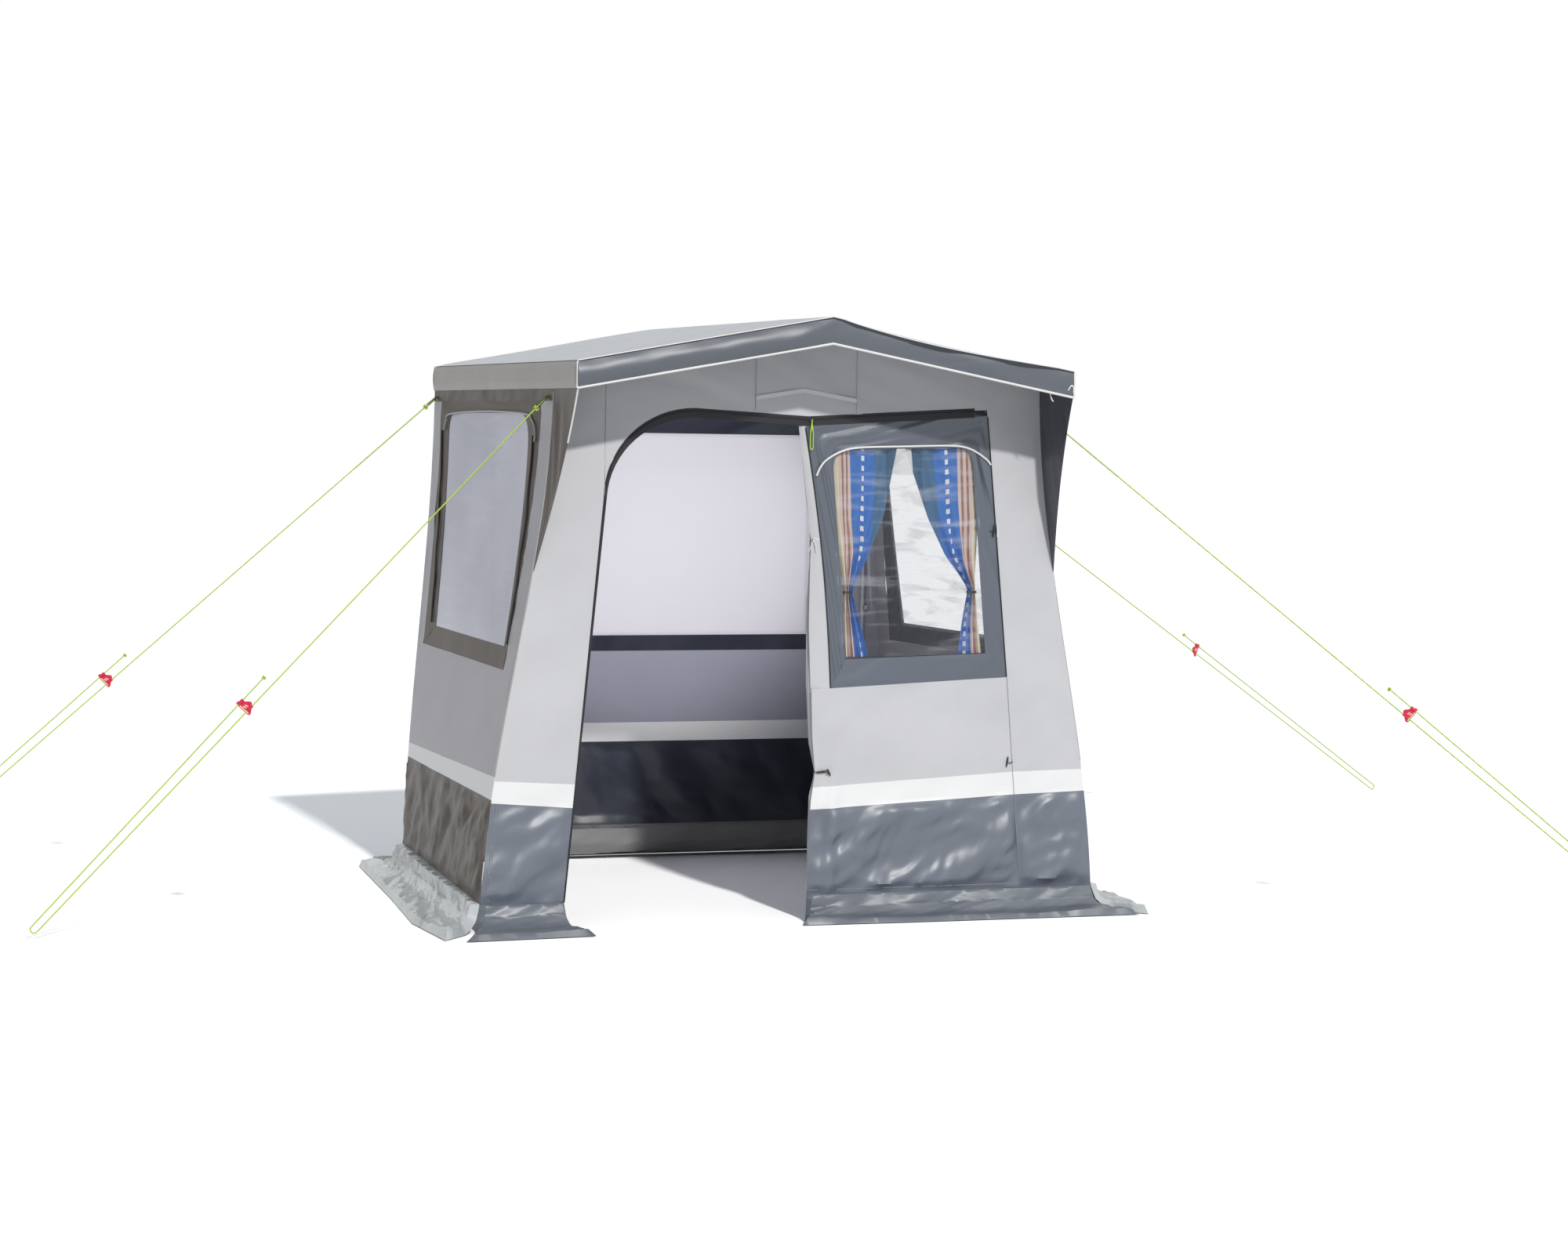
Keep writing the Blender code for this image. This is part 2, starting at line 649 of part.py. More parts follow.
def build_skirts():
    front = CLOTH + GAP
    back = DEPTH - CLOTH - GAP
    stations = (front, SKIRT_SHOULDER_Y, DEPTH / 2, back)
    for name, side in SIDES:
        feet = [((side * half_width(y, SEAM_HEIGHT), y), (side * out_x, out_y))
                for y, (out_x, out_y) in zip(stations, SIDE_SKIRT_SPREAD)]
        add_skirt(f"skirt_{name}", feet, SEAM_HEIGHT)
    corner = half_width(0, SEAM_HEIGHT) - 2 * CLOTH
    for name, xs, spreads in (
            ("left", (-corner, LEFT_SKIRT_MIDDLE_X, DOOR_FOOT_X), LEFT_SKIRT_SPREAD),
            ("right", (FOLD_FOOT_X, RIGHT_SKIRT_INNER_X, RIGHT_SKIRT_OUTER_X, corner), RIGHT_SKIRT_SPREAD)):
        feet = [((x, 0), outward) for x, outward in zip(xs, spreads)]
        add_skirt(f"skirt_front_{name}", feet, SEAM_HEIGHT)
    corner = half_width(DEPTH, BACK_SEAM_HEIGHT) - 2 * CLOTH
    feet = [((side * corner, DEPTH), (side * BACK_SKIRT_CORNER, SKIRT_REACH)) for side in (-1, 0, 1)]
    add_skirt("skirt_back", feet, BACK_SEAM_HEIGHT)


def legs():
    """Corner name and axis of each leg."""
    for depth_name, y in (("front", FRONT_LEG_Y), ("back", BACK_LEG_Y)):
        for side_name, side in (("left", -1), ("right", 1)):
            yield f"{depth_name}_{side_name}", side * LEG_X, y


def build_legs():
    """Telescopic legs: upper tube with its clamp collar and thumb screw, lower tube, foot."""
    collar_z = pole_z(LEG_X) - HUB_REACH
    top = collar_z - GAP - LEG_SPLIT_Z
    clamp_radius = POLE_RADIUS + CLAMP_WALL
    for corner, x, y in legs():
        base = Vector((x, y, LEG_SPLIT_Z))
        bm = bmesh.new()
        profile = [(POLE_BORE, 0), (clamp_radius, 0), (clamp_radius, CLAMP_HEIGHT),
                   (POLE_RADIUS, CLAMP_HEIGHT), (POLE_RADIUS, top), (POLE_BORE, top)]
        turned(bm, profile, Matrix.Translation(base))
        leg = add_object(f"leg_upper_{corner}", bm, STEEL, base)
        shade_round(leg)
        near = POLE_RADIUS + CLAMP_WALL / 2
        profile = [(0, near), (SCREW_RADIUS, near), (SCREW_RADIUS, SCREW_REACH - KNOB_LENGTH),
                   (KNOB_RADIUS, SCREW_REACH - KNOB_LENGTH), (KNOB_RADIUS, SCREW_REACH),
                   (0, SCREW_REACH)]
        inward = 1 if y == FRONT_LEG_Y else -1
        bm = bmesh.new()
        turned(bm, profile, aim(base + UP * CLAMP_HEIGHT / 2, (0, inward, 0)), steps=12)
        combine(leg, add_object(f"clamp_screw_{corner}", bm, BLACK_PLASTIC), "UNION")

        bm = bmesh.new()
        bore = LOWER_LEG_RADIUS - LOWER_LEG_WALL
        tube(bm, (x, y, FOOT_SOLE + GAP), (x, y, LEG_SPLIT_Z + LEG_OVERLAP), LOWER_LEG_RADIUS, bore)
        shade_round(add_object(f"leg_lower_{corner}", bm, STEEL, (x, y, 0)))
        bm = bmesh.new()
        socket = LOWER_LEG_RADIUS + GAP
        cup = [(0, 0), (FOOT_RADIUS, 0), (FOOT_RADIUS, FOOT_HEIGHT), (socket, FOOT_HEIGHT),
               (socket, FOOT_SOLE), (0, FOOT_SOLE)]
        turned(bm, cup, Matrix.Translation((x, y, 0)))
        shade_round(add_object(f"leg_foot_{corner}", bm, BLACK_PLASTIC, (x, y, 0)))


def arm(name, center, direction):
    """Collar and spigot of a pole fitting, from its centre outwards."""
    spigot = POLE_BORE - SPIGOT_PLAY
    end = HUB_REACH + SPIGOT_LENGTH
    bm = bmesh.new()
    profile = [(0, 0), (POLE_RADIUS, 0), (POLE_RADIUS, HUB_REACH), (spigot, HUB_REACH),
               (spigot, end), (0, end)]
    turned(bm, profile, aim(center, direction))
    return add_object(name, bm, BLACK_PLASTIC)


def overhang_arm(name, center):
    """Tube that carries the roof cloth forward over the door, open at its front end."""
    end = center.y + OVERHANG - GAP
    bm = bmesh.new()
    profile = [(0, 0), (POLE_RADIUS, 0), (POLE_RADIUS, end), (POLE_BORE, end),
               (POLE_BORE, HUB_REACH), (0, HUB_REACH)]
    turned(bm, profile, aim(center, (0, -1, 0)))
    return add_object(name, bm, BLACK_PLASTIC)


def fitting(name, center, directions):
    """Hub with arms for the poles that meet there; front hubs also reach forward."""
    bm = bmesh.new()
    drum = [(0, -HUB_DROP), (HUB_RADIUS, -HUB_DROP), (HUB_RADIUS, HUB_TOP), (0, HUB_TOP)]
    turned(bm, drum, Matrix.Translation(center))
    hub = add_object(name, bm, BLACK_PLASTIC, center)
    for i, direction in enumerate(directions):
        combine(hub, arm(f"{name}_arm_{i}", center, direction), "UNION")
    if "front" in name:
        combine(hub, overhang_arm(f"{name}_overhang", center), "UNION")


def build_fittings():
    for depth_name, y, along in (("front", FRONT_LEG_Y, 1), ("back", BACK_LEG_Y, -1)):
        for side_name, side in SIDES:
            center = Vector((side * LEG_X, y, pole_z(LEG_X)))
            arms = ((0, 0, -1), (-side, 0, ROOF_SLOPE), (0, along, 0))
            fitting(f"corner_fitting_{depth_name}_{side_name}", center, arms)
        center = Vector((0, y, pole_z(0)))
        arms = ((-1, 0, -ROOF_SLOPE), (1, 0, -ROOF_SLOPE), (0, along, 0))
        fitting(f"ridge_fitting_{depth_name}", center, arms)


def pole(name, start, end):
    """Tube between two fittings, a gap short of each collar."""
    start = Vector(start)
    end = Vector(end)
    short = (end - start).normalized() * (HUB_REACH + GAP)
    bm = bmesh.new()
    tube(bm, start + short, end - short, POLE_RADIUS, POLE_BORE)
    shade_round(add_object(name, bm, STEEL))


def build_poles():
    low = pole_z(LEG_X)
    high = pole_z(0)
    for side_name, side in SIDES:
        x = side * LEG_X
        for depth_name, y in (("front", FRONT_LEG_Y), ("back", BACK_LEG_Y)):
            pole(f"rafter_{depth_name}_{side_name}", (x, y, low), (0, y, high))
        pole(f"eave_pole_{side_name}", (x, FRONT_LEG_Y, low), (x, BACK_LEG_Y, low))
    pole("ridge_pole", (0, FRONT_LEG_Y, high), (0, BACK_LEG_Y, high))


def build_door_zip():
    """Zip tape along the doorway's edge, wider on its top run."""
    edge = offset_path(door_edge(), -GAP)
    inner = offset_path(door_edge(), -ZIP_TAPE_WIDTH)
    edge[0] = (DOOR_FOOT_X + GAP, SEAM_HEIGHT)
    inner[0] = (DOOR_FOOT_X + ZIP_TAPE_WIDTH, SEAM_HEIGHT)
    bm = bmesh.new()
    panel(bm, edge + list(reversed(inner)), on_front)
    add_object("door_zip", bm, BLACK_WEBBING)


def zip_frame():
    """Centre of the slider on the zip's line, and the matrix of its axes."""
    down = Vector((ZIP_AXIS.z, 0, -ZIP_AXIS.x))
    center = ZIP_START + ZIP_AXIS * SLIDER_LENGTH / 2 + down * ZIP_TAPE_WIDTH / 2
    turn = Matrix((ZIP_AXIS, Vector((0, 1, 0)), -down)).transposed().to_4x4()
    return center, Matrix.Translation(center) @ turn


def build_zip_slider():
    center, matrix = zip_frame()
    pin_y = -GAP - SLIDER_DEPTH - PIN_STAND_OFF
    body = bmesh.new()
    box(body, (-SLIDER_LENGTH / 2, -GAP - SLIDER_DEPTH, -SLIDER_HEIGHT / 2),
        (SLIDER_LENGTH / 2, -GAP, SLIDER_HEIGHT / 2))
    bmesh.ops.transform(body, matrix=matrix, verts=body.verts)
    slider = add_object("zip_slider", body, BLACK_PLASTIC, center)
    ears = bmesh.new()
    near = PULLER_NECK_HALF + PIN_PLAY
    for side in (-1, 1):
        xs = sorted((side * near, side * (near + SLIDER_EAR)))
        box(ears, (xs[0], pin_y - 0.0018, -0.0022), (xs[1], -GAP - SLIDER_DEPTH / 2, 0.0022))
    bmesh.ops.transform(ears, matrix=matrix, verts=ears.verts)
    combine(slider, add_object("slider_ears", ears, BLACK_PLASTIC), "UNION")
    pin = bmesh.new()
    half = near + SLIDER_EAR / 2
    rod(pin, matrix @ Vector((-half, pin_y, 0)), matrix @ Vector((half, pin_y, 0)), PIN_RADIUS, 12)
    combine(slider, add_object("slider_pin", pin, BLACK_PLASTIC), "UNION")

    top = PIN_RADIUS + PIN_PLAY + 0.0011
    neck = PULLER_NECK_HALF
    wide = PULLER_HALF
    foot = -PULLER_LENGTH
    outline = [(-neck, top), (-neck, -0.012), (-wide, -0.040), (-wide, foot + 0.006),
               (-wide + 0.004, foot), (wide - 0.004, foot), (wide, foot + 0.006),
               (wide, -0.040), (neck, -0.012), (neck, top)]
    slot = [(-0.0005, -0.030), (-0.0035, -0.042), (-0.0035, foot + 0.007), (-0.002, foot + 0.004),
            (0.002, foot + 0.004), (0.0035, foot + 0.007), (0.0035, -0.042), (0.0005, -0.030)]
    half_thick = PULLER_THICKNESS / 2
    bm = bmesh.new()
    panel(bm, outline, lambda x, z: ((x, pin_y - half_thick, z), (x, pin_y + half_thick, z)),
          holes=(slot,))
    pivot = center + Vector((0, pin_y, 0))
    bmesh.ops.translate(bm, verts=bm.verts, vec=(center.x, 0, center.z))
    puller = add_object("zip_puller", bm, ROPE_CORD, pivot)
    bore = bmesh.new()
    rod(bore, pivot - ZIP_AXIS * 0.006, pivot + ZIP_AXIS * 0.006, PIN_RADIUS + PIN_PLAY, 12)
    combine(puller, add_object("puller_bore", bore, ROPE_CORD), "DIFFERENCE")


# Edges of the curtains by height: (height, outer x, inner x)
CURTAIN_EDGES = {
    "left": ((CURTAIN_TOP_Z, 0.118, 0.345), (1.36, 0.128, 0.298), (1.233, 0.146, 0.245),
             (CURTAIN_TIE_Z + 0.02, 0.162, 0.194), (CURTAIN_TIE_Z, 0.163, 0.189),
             (CURTAIN_TIE_Z - 0.02, 0.160, 0.194), (1.00, 0.158, 0.222), (CURTAIN_FOOT_Z, 0.160, 0.253)),
    "right": ((CURTAIN_TOP_Z, 0.640, 0.372), (1.36, 0.652, 0.462), (1.233, 0.648, 0.528),
              (CURTAIN_TIE_Z + 0.02, 0.644, 0.612), (CURTAIN_TIE_Z, 0.643, 0.617),
              (CURTAIN_TIE_Z - 0.02, 0.648, 0.612), (1.00, 0.660, 0.594), (CURTAIN_FOOT_Z, 0.676, 0.582)),
}


def build_curtains():
    """Curtains gathered by a tie, with their main folds."""
    middle = CLOTH + GAP + CURTAIN_FOLD_DEPTH
    for name, edges in CURTAIN_EDGES.items():
        keys = sorted(edges)
        heights = [key[0] for key in keys]
        rows = sorted(set(spread(CURTAIN_FOOT_Z, CURTAIN_TOP_Z, 12)) | {CURTAIN_TIE_Z})
        front = []
        back = []
        for z in rows:
            outer = float(np.interp(z, heights, [key[1] for key in keys]))
            inner = float(np.interp(z, heights, [key[2] for key in keys]))
            opened = abs(inner - outer) / CURTAIN_OPEN_WIDTH + CURTAIN_TIED_SHARE
            depth = CURTAIN_FOLD_DEPTH * min(1.0, opened)
            line = []
            for j in range(6 * CURTAIN_FOLDS + 1):
                share = j / (6 * CURTAIN_FOLDS)
                wave = math.cos(2 * math.pi * CURTAIN_FOLDS * share)
                line.append((outer + (inner - outer) * share, middle + depth * wave))
            front.append([(x, y, z) for x, y in line])
            back.append([(x, y + CLOTH, z) for x, y in line])
        bm = bmesh.new()
        sheet(bm, front, back)
        curtain = add_object(f"curtain_{name}", bm, CURTAIN_CLOTH)
        outer, inner = [key[1:] for key in edges if key[0] == CURTAIN_TIE_Z][0]
        radii = (abs(inner - outer) / 2 + TIE_THICKNESS, CURTAIN_FOLD_DEPTH * 0.85)
        bm = bmesh.new()
        band(bm, ((outer + inner) / 2, middle + CLOTH / 2), CURTAIN_TIE_Z, radii, CURTAIN_TIE_HEIGHT)
        combine(curtain, add_object(f"curtain_tie_{name}", bm, BLACK_WEBBING), "UNION")


def band(bm, center, z, radii, height):
    """Tie that closes round an upright bundle, joined to it all through."""
    outer = arc(center, radii, 0, 360, 16)[:-1]
    panel(bm, outer, lambda x, y: ((x, y, z - height / 2), (x, y, z + height / 2)))


# Rolled door by height: (height, left x, right x, depth)
ROLL_STATIONS = (
    (ROLL_FOOT_Z, 0.052, 0.120, 0.046), (0.25, 0.048, 0.122, 0.050), (0.42, 0.050, 0.118, 0.042),
    (FOLD_TIE_Z - 0.03, 0.062, 0.110, 0.032), (FOLD_TIE_Z, 0.067, 0.105, 0.026),
    (FOLD_TIE_Z + 0.03, 0.061, 0.112, 0.032), (0.60, 0.047, 0.128, 0.046), (0.80, 0.036, 0.132, 0.052),
    (1.00, 0.033, 0.122, 0.050), (1.18, 0.038, 0.102, 0.044),
    (ROLL_UPPER_TIE_Z - 0.03, 0.042, 0.088, 0.032), (ROLL_UPPER_TIE_Z, 0.044, 0.082, 0.026),
    (ROLL_UPPER_TIE_Z + 0.03, 0.038, 0.085, 0.032), (1.42, 0.024, 0.080, 0.040),
    (1.55, 0.008, 0.064, 0.038), (ROLL_TOP_Z, -0.004, 0.050, 0.034),
)
ROLL_FRONT = CLOTH + GAP + TIE_THICKNESS


def roll_ring(left, right, depth, z):
    """Section of the rolled door, with the ridges of its folds."""
    ring = []
    middle = (left + right) / 2
    half = (right - left) / 2
    for i in range(20):
        angle = 2 * math.pi * i / 20
        ripple = 1 - 0.045 * (1 + math.cos(5 * angle + 2.5 * z))
        ring.append((middle + half * ripple * math.cos(angle),
                     ROLL_FRONT + depth / 2 + depth / 2 * ripple * math.sin(angle), z))
    return ring


def build_door_roll():
    """Door cloth rolled up inside the right edge of the doorway, with its ties."""
    bm = bmesh.new()
    loft(bm, [roll_ring(left, right, depth, z) for z, left, right, depth in ROLL_STATIONS])
    roll = add_object("door_roll", bm, WALL_CLOTH)
    ties = bmesh.new()
    for z, left, right, depth in ROLL_STATIONS:
        if z in (FOLD_TIE_Z, ROLL_UPPER_TIE_Z):
            radii = ((right - left) / 2 + TIE_THICKNESS, depth / 2 + TIE_THICKNESS)
            band(ties, ((left + right) / 2, ROLL_FRONT + depth / 2), z, radii, TIE_HEIGHT)
    combine(roll, add_object("door_ties", ties, BLACK_WEBBING), "UNION")


def guy_line(side, front, peg):
    """Wall point, ground end, direction and sideways axis of a guy rope."""
    y = GUY_FRONT_Y if front else GUY_BACK_Y
    z = VALANCE_FOOT_Z - GUY_DROP
    x = float(np.interp(z, side_cuts(), [half_width(y, level) for level in side_cuts()]))
    wall = Vector((side * x, y, z))
    end = Vector((*peg, PEG_HEIGHT))
    direction = (end - wall).normalized()
    normal = Vector((direction.y, -direction.x, 0)).normalized()
    across = direction.cross(normal)
    if across.z < 0:
        across = -across
    return wall, end, direction, across


def round_cord(name, path, radius, mat):
    """Curve object with a round bevel through the points."""
    curve = bpy.data.curves.new(name, "CURVE")
    curve.dimensions = "3D"
    curve.bevel_depth = radius
    curve.bevel_resolution = 2
    curve.use_fill_caps = True
    spline = curve.splines.new("POLY")
    spline.points.add(len(path) - 1)
    for point, place in zip(spline.points, path):
        point.co = (*place, 1)
    curve.materials.append(mat)
    obj = bpy.data.objects.new(name, curve)
    obj.parent = origin
    bpy.context.collection.objects.link(obj)


def build_guys():
    """Guy ropes: down to the peg loop and back up through the tensioner."""
    for name, side, front, peg, share in GUYS:
        wall, end, direction, across = guy_line(side, front, peg)
        rim = ROPE_RADIUS * math.sqrt(1 - direction.x ** 2)
        start = wall + direction * (rim + 1.5 * GAP) / abs(direction.x)
        path = [start.lerp(end, i / 23) for i in range(24)]
        turn = end + across * PEG_LOOP_RADIUS
        for i in range(1, 8):
            angle = math.radians(-90 + 180 * i / 8)
            path.append(turn + direction * PEG_LOOP_RADIUS * math.cos(angle)
                        + across * PEG_LOOP_RADIUS * math.sin(angle))
        back = end + across * 2 * PEG_LOOP_RADIUS
        place = start.lerp(end, share)
        hole = place + across * TAIL_OFFSET
        tail_end = hole + (hole - back).normalized() * TAIL_SPARE
        path += [back.lerp(tail_end, i / 11) for i in range(12)]
        round_cord(f"guy_rope_{name}", path, ROPE_RADIUS, ROPE_CORD)
        build_tensioner(f"tensioner_{name}", place, direction, across)


def build_tensioner(name, place, direction, across):
    """Flat three-cornered plate with a barrel for the rope and one for its tail."""
    normal = direction.cross(across)
    matrix = Matrix.Translation(place) @ Matrix((direction, across, normal)).transposed().to_4x4()
    low = TENSIONER_HEIGHT / 2
    corners = [Vector((-low, TENSIONER_APEX)), Vector((low, -TENSIONER_LOWER)),
               Vector((low, TENSIONER_UPPER))]
    outline = []
    for i, corner in enumerate(corners):
        before = (corner - corners[i - 1]).normalized()
        after = (corners[(i + 1) % 3] - corner).normalized()
        start = math.atan2(-before.x, before.y)
        turn = before.angle(after)
        center = corner + (after - before).normalized() * TENSIONER_CORNER / math.cos(turn / 2)
        for j in range(5):
            angle = start + turn * j / 4
            outline.append((center.x + TENSIONER_CORNER * math.cos(angle),
                            center.y + TENSIONER_CORNER * math.sin(angle)))
    half = TENSIONER_THICKNESS / 2
    bm = bmesh.new()
    panel(bm, outline, lambda a, b: ((a, b, half), (a, b, -half)))
    bmesh.ops.transform(bm, matrix=matrix, verts=bm.verts)
    plate = add_object(name, bm, RED_METAL, place)
    tail_bore = ROPE_RADIUS + TAIL_PLAY
    tail_place = place + across * TAIL_OFFSET
    barrels = (("rope", place, direction, ROPE_RADIUS + GAP, 0),
               ("tail", tail_place, direction, tail_bore, TAIL_BARREL_SHIFT))
    for operation, wall, extra in (("UNION", BARREL_WALL, 0), ("DIFFERENCE", 0, 0.02)):
        for barrel, middle, along, bore, shift in barrels:
            bm = bmesh.new()
            half = along * (BARREL_LENGTH / 2 + extra)
            center = middle + along * shift
            rod(bm, center - half, center + half, bore + wall, 12)
            label = f"{name}_{barrel}_{operation.lower()}"
            combine(plate, add_object(label, bm, RED_METAL), operation)


build_roof()
build_valance()
build_storm_wings()
build_side_walls()
build_back_wall()
build_front_wall()
build_front_window()
build_skirts()
build_legs()
build_fittings()
build_poles()
build_door_zip()
build_zip_slider()
build_curtains()
build_door_roll()
build_guys()
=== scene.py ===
import math

import bmesh
import bpy
import numpy as np
from mathutils import Matrix, Vector, noise


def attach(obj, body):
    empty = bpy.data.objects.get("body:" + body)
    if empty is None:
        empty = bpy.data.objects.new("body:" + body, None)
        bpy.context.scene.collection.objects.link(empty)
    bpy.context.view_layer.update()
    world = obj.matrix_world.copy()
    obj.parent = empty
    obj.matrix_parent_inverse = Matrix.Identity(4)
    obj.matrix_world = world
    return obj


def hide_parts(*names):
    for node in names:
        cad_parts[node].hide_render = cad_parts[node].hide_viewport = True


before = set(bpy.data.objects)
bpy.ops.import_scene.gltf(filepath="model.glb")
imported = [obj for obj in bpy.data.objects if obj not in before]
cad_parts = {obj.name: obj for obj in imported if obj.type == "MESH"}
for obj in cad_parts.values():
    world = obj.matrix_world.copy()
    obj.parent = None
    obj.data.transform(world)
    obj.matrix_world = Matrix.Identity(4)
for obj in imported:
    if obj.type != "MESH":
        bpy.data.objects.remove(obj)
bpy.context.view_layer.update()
bpy.ops.object.select_all(action="DESELECT")
scene = bpy.context.scene
scene.view_settings.view_transform = "Standard"

# Studio: the camera stands low and left of the door, a large soft sun comes from in front and
# a little above, and the floor and the sky are plain white.
PHOTO_WIDTH, FOCAL_PIXELS, SENSOR_WIDTH = 2000, 4256.63, 36
yaw, pitch, roll = -0.34965, -0.06002, 0.01637
forward = Vector((-math.sin(yaw) * math.cos(pitch), math.cos(yaw) * math.cos(pitch), math.sin(pitch)))
level = Vector((math.cos(yaw), math.sin(yaw), 0))
upward = level.cross(forward)
camera_x = level * math.cos(roll) + upward * math.sin(roll)
camera_y = upward * math.cos(roll) - level * math.sin(roll)
camera_data = bpy.data.cameras.new("camera")
camera_data.sensor_width = SENSOR_WIDTH
camera_data.lens = FOCAL_PIXELS / PHOTO_WIDTH * SENSOR_WIDTH
camera_data.clip_end = 300
camera = bpy.data.objects.new("camera", camera_data)
stand = Matrix((camera_x, camera_y, -forward)).transposed().to_4x4()
stand.translation = (-3.8821, -11.25225, 1.6636)
camera.matrix_world = stand
scene.collection.objects.link(camera)
scene.camera = camera


def add(tree, kind, links=None, **settings):
    """Shader node with its settings, and its inputs linked to sockets or set to values."""
    made = tree.nodes.new(kind)
    for key, value in settings.items():
        setattr(made, key, value)
    for key, value in (links or {}).items():
        if isinstance(value, bpy.types.NodeSocket):
            tree.links.new(value, made.inputs[key])
        else:
            made.inputs[key].default_value = value
    return made


def seen_directly(tree):
    """Mask of the rays that show the studio itself: straight on, mirrored or through the foil."""
    rays = add(tree, "ShaderNodeLightPath")
    direct = add(tree, "ShaderNodeMath", {0: rays.outputs["Is Camera Ray"], 1: rays.outputs["Is Glossy Ray"]},
                 operation="MAXIMUM")
    seen = add(tree, "ShaderNodeMath", {0: direct.outputs[0], 1: rays.outputs["Is Transmission Ray"]},
               operation="MAXIMUM")
    return seen.outputs[0]


world = bpy.data.worlds.new("studio")
scene.world = world
world.use_nodes = True
tree = world.node_tree
tree.nodes.clear()
seen = seen_directly(tree)
sky = add(tree, "ShaderNodeBackground", {"Color": (0.90, 0.95, 1.0, 1), "Strength": 0.39})
white = add(tree, "ShaderNodeBackground", {"Color": (1, 1, 1, 1), "Strength": 1.0})
both = add(tree, "ShaderNodeMixShader", {0: seen, 1: sky.outputs[0], 2: white.outputs[0]})
add(tree, "ShaderNodeOutputWorld", {"Surface": both.outputs[0]})

bpy.ops.mesh.primitive_plane_add(size=160, location=(0, 20, -0.002))
floor = bpy.context.object
floor.name = "floor"
floor_paint = bpy.data.materials.new("floor_white")
floor_paint.use_nodes = True
tree = floor_paint.node_tree
tree.nodes.clear()
seen = seen_directly(tree)
FLOOR_LIT, FLOOR_SEEN = 0.78, 1.58
pale = add(tree, "ShaderNodeMix", {0: seen, 6: (FLOOR_LIT,) * 3 + (1,), 7: (FLOOR_SEEN,) * 3 + (1,)},
           data_type="RGBA")
matt = add(tree, "ShaderNodeBsdfDiffuse", {"Color": pale.outputs[2]})
add(tree, "ShaderNodeOutputMaterial", {"Surface": matt.outputs[0]})
floor.data.materials.append(floor_paint)

sun = bpy.data.lights.new("sun", "SUN")
sun.energy = 2.2
sun.angle = math.radians(2.5)
sun.color = (1.0, 0.985, 0.96)
sun_lamp = bpy.data.objects.new("sun", sun)
sun_lamp.rotation_euler = Vector((-0.05, 1, -0.76)).to_track_quat("-Z", "Y").to_euler()
scene.collection.objects.link(sun_lamp)

# The daylight that comes through the canvas, as a soft lamp inside, on the back wall
glow = bpy.data.lights.new("inner_light", "SPOT")
glow.energy = 62.0
glow.spot_size = math.radians(66)
glow.spot_blend = 0.5
glow.shadow_soft_size = 0.2
glow_lamp = bpy.data.objects.new("inner_light", glow)
glow_lamp.location = (0.0, -0.62, 1.25)
glow_lamp.rotation_euler = Vector((0, 1, 0.0)).to_track_quat("-Z", "Y").to_euler()
glow_lamp.visible_camera = False
glow_lamp.visible_glossy = False
scene.collection.objects.link(glow_lamp)

# Guy ropes: 5 mm braided cord in yellow-green, tied at each eave corner, run down to the peg
# loop on the ground and back up through the tensioner, with a stopper knot on the spare end.
FRONT_Y = -0.75885
CORD_RADIUS, PEG_LOOP_RADIUS = 0.0025, 0.012


def smooth_colour(r, g, b):
    """Linear colour of a shade given in 0 to 255 steps."""
    return [((c / 255 + 0.055) / 1.055) ** 2.4 if c > 10 else c / 3295 for c in (r, g, b)]


def shaded(tree, share, dark, light):
    """Colour between a dark and a light shade, by a share that another node gives."""
    mixed = add(tree, "ShaderNodeMix", {0: share, 6: (*smooth_colour(*dark), 1),
                                        7: (*smooth_colour(*light), 1)}, data_type="RGBA")
    return mixed.outputs[2]


def relief(tree, height, strength, distance, **onto):
    """Surface relief by a height, on top of another relief if one is given."""
    raised = add(tree, "ShaderNodeBump", {"Height": height, "Strength": strength, "Distance": distance,
                                          **onto})
    return raised.outputs[0]


braid = bpy.data.materials.new("rope_braid")
braid.use_nodes = True
tree = braid.node_tree
shader = tree.nodes["Principled BSDF"]
place = add(tree, "ShaderNodeTexCoord")
strand = add(tree, "ShaderNodeTexWave", {"Vector": place.outputs["Object"], "Scale": 90.0, "Distortion": 6.0},
             bands_direction="DIAGONAL")
tint = shaded(tree, strand.outputs["Color"], (150, 190, 40), (206, 232, 112))
tree.links.new(tint, shader.inputs["Base Color"])
tree.links.new(relief(tree, strand.outputs["Fac"], 0.5, 0.0005), shader.inputs["Normal"])
shader.inputs["Roughness"].default_value = 0.6

# Each rope by its eave end, its ground end, the way that it turns round the peg and its spare end
ROPES = {
    "front_left": ((-0.86841, -0.68868, 1.75058), (-2.493, -0.56385, 0.022), (-0.72554, 0.05575, 0.68592),
                   (-1.78475, -0.61827, 0.82826)),
    "front_right": ((0.86833, -0.6898, 1.75107), (2.842, -1.54485, 0.022), (0.5749, -0.24906, 0.77939),
                    (2.01554, -1.1868, 0.79225)),
    "back_left": ((-0.86766, 0.80136, 1.7511), (-2.802, 0.99515, 0.022), (-0.66129, 0.06625, 0.7472),
                  (-1.99132, 0.91393, 0.79495)),
    "back_right": ((0.86747, 0.8021, 1.75193), (4.0, 2.34115, 0.022), (0.39859, 0.19583, 0.89598),
                   (2.68081, 1.69301, 0.79037)),
}


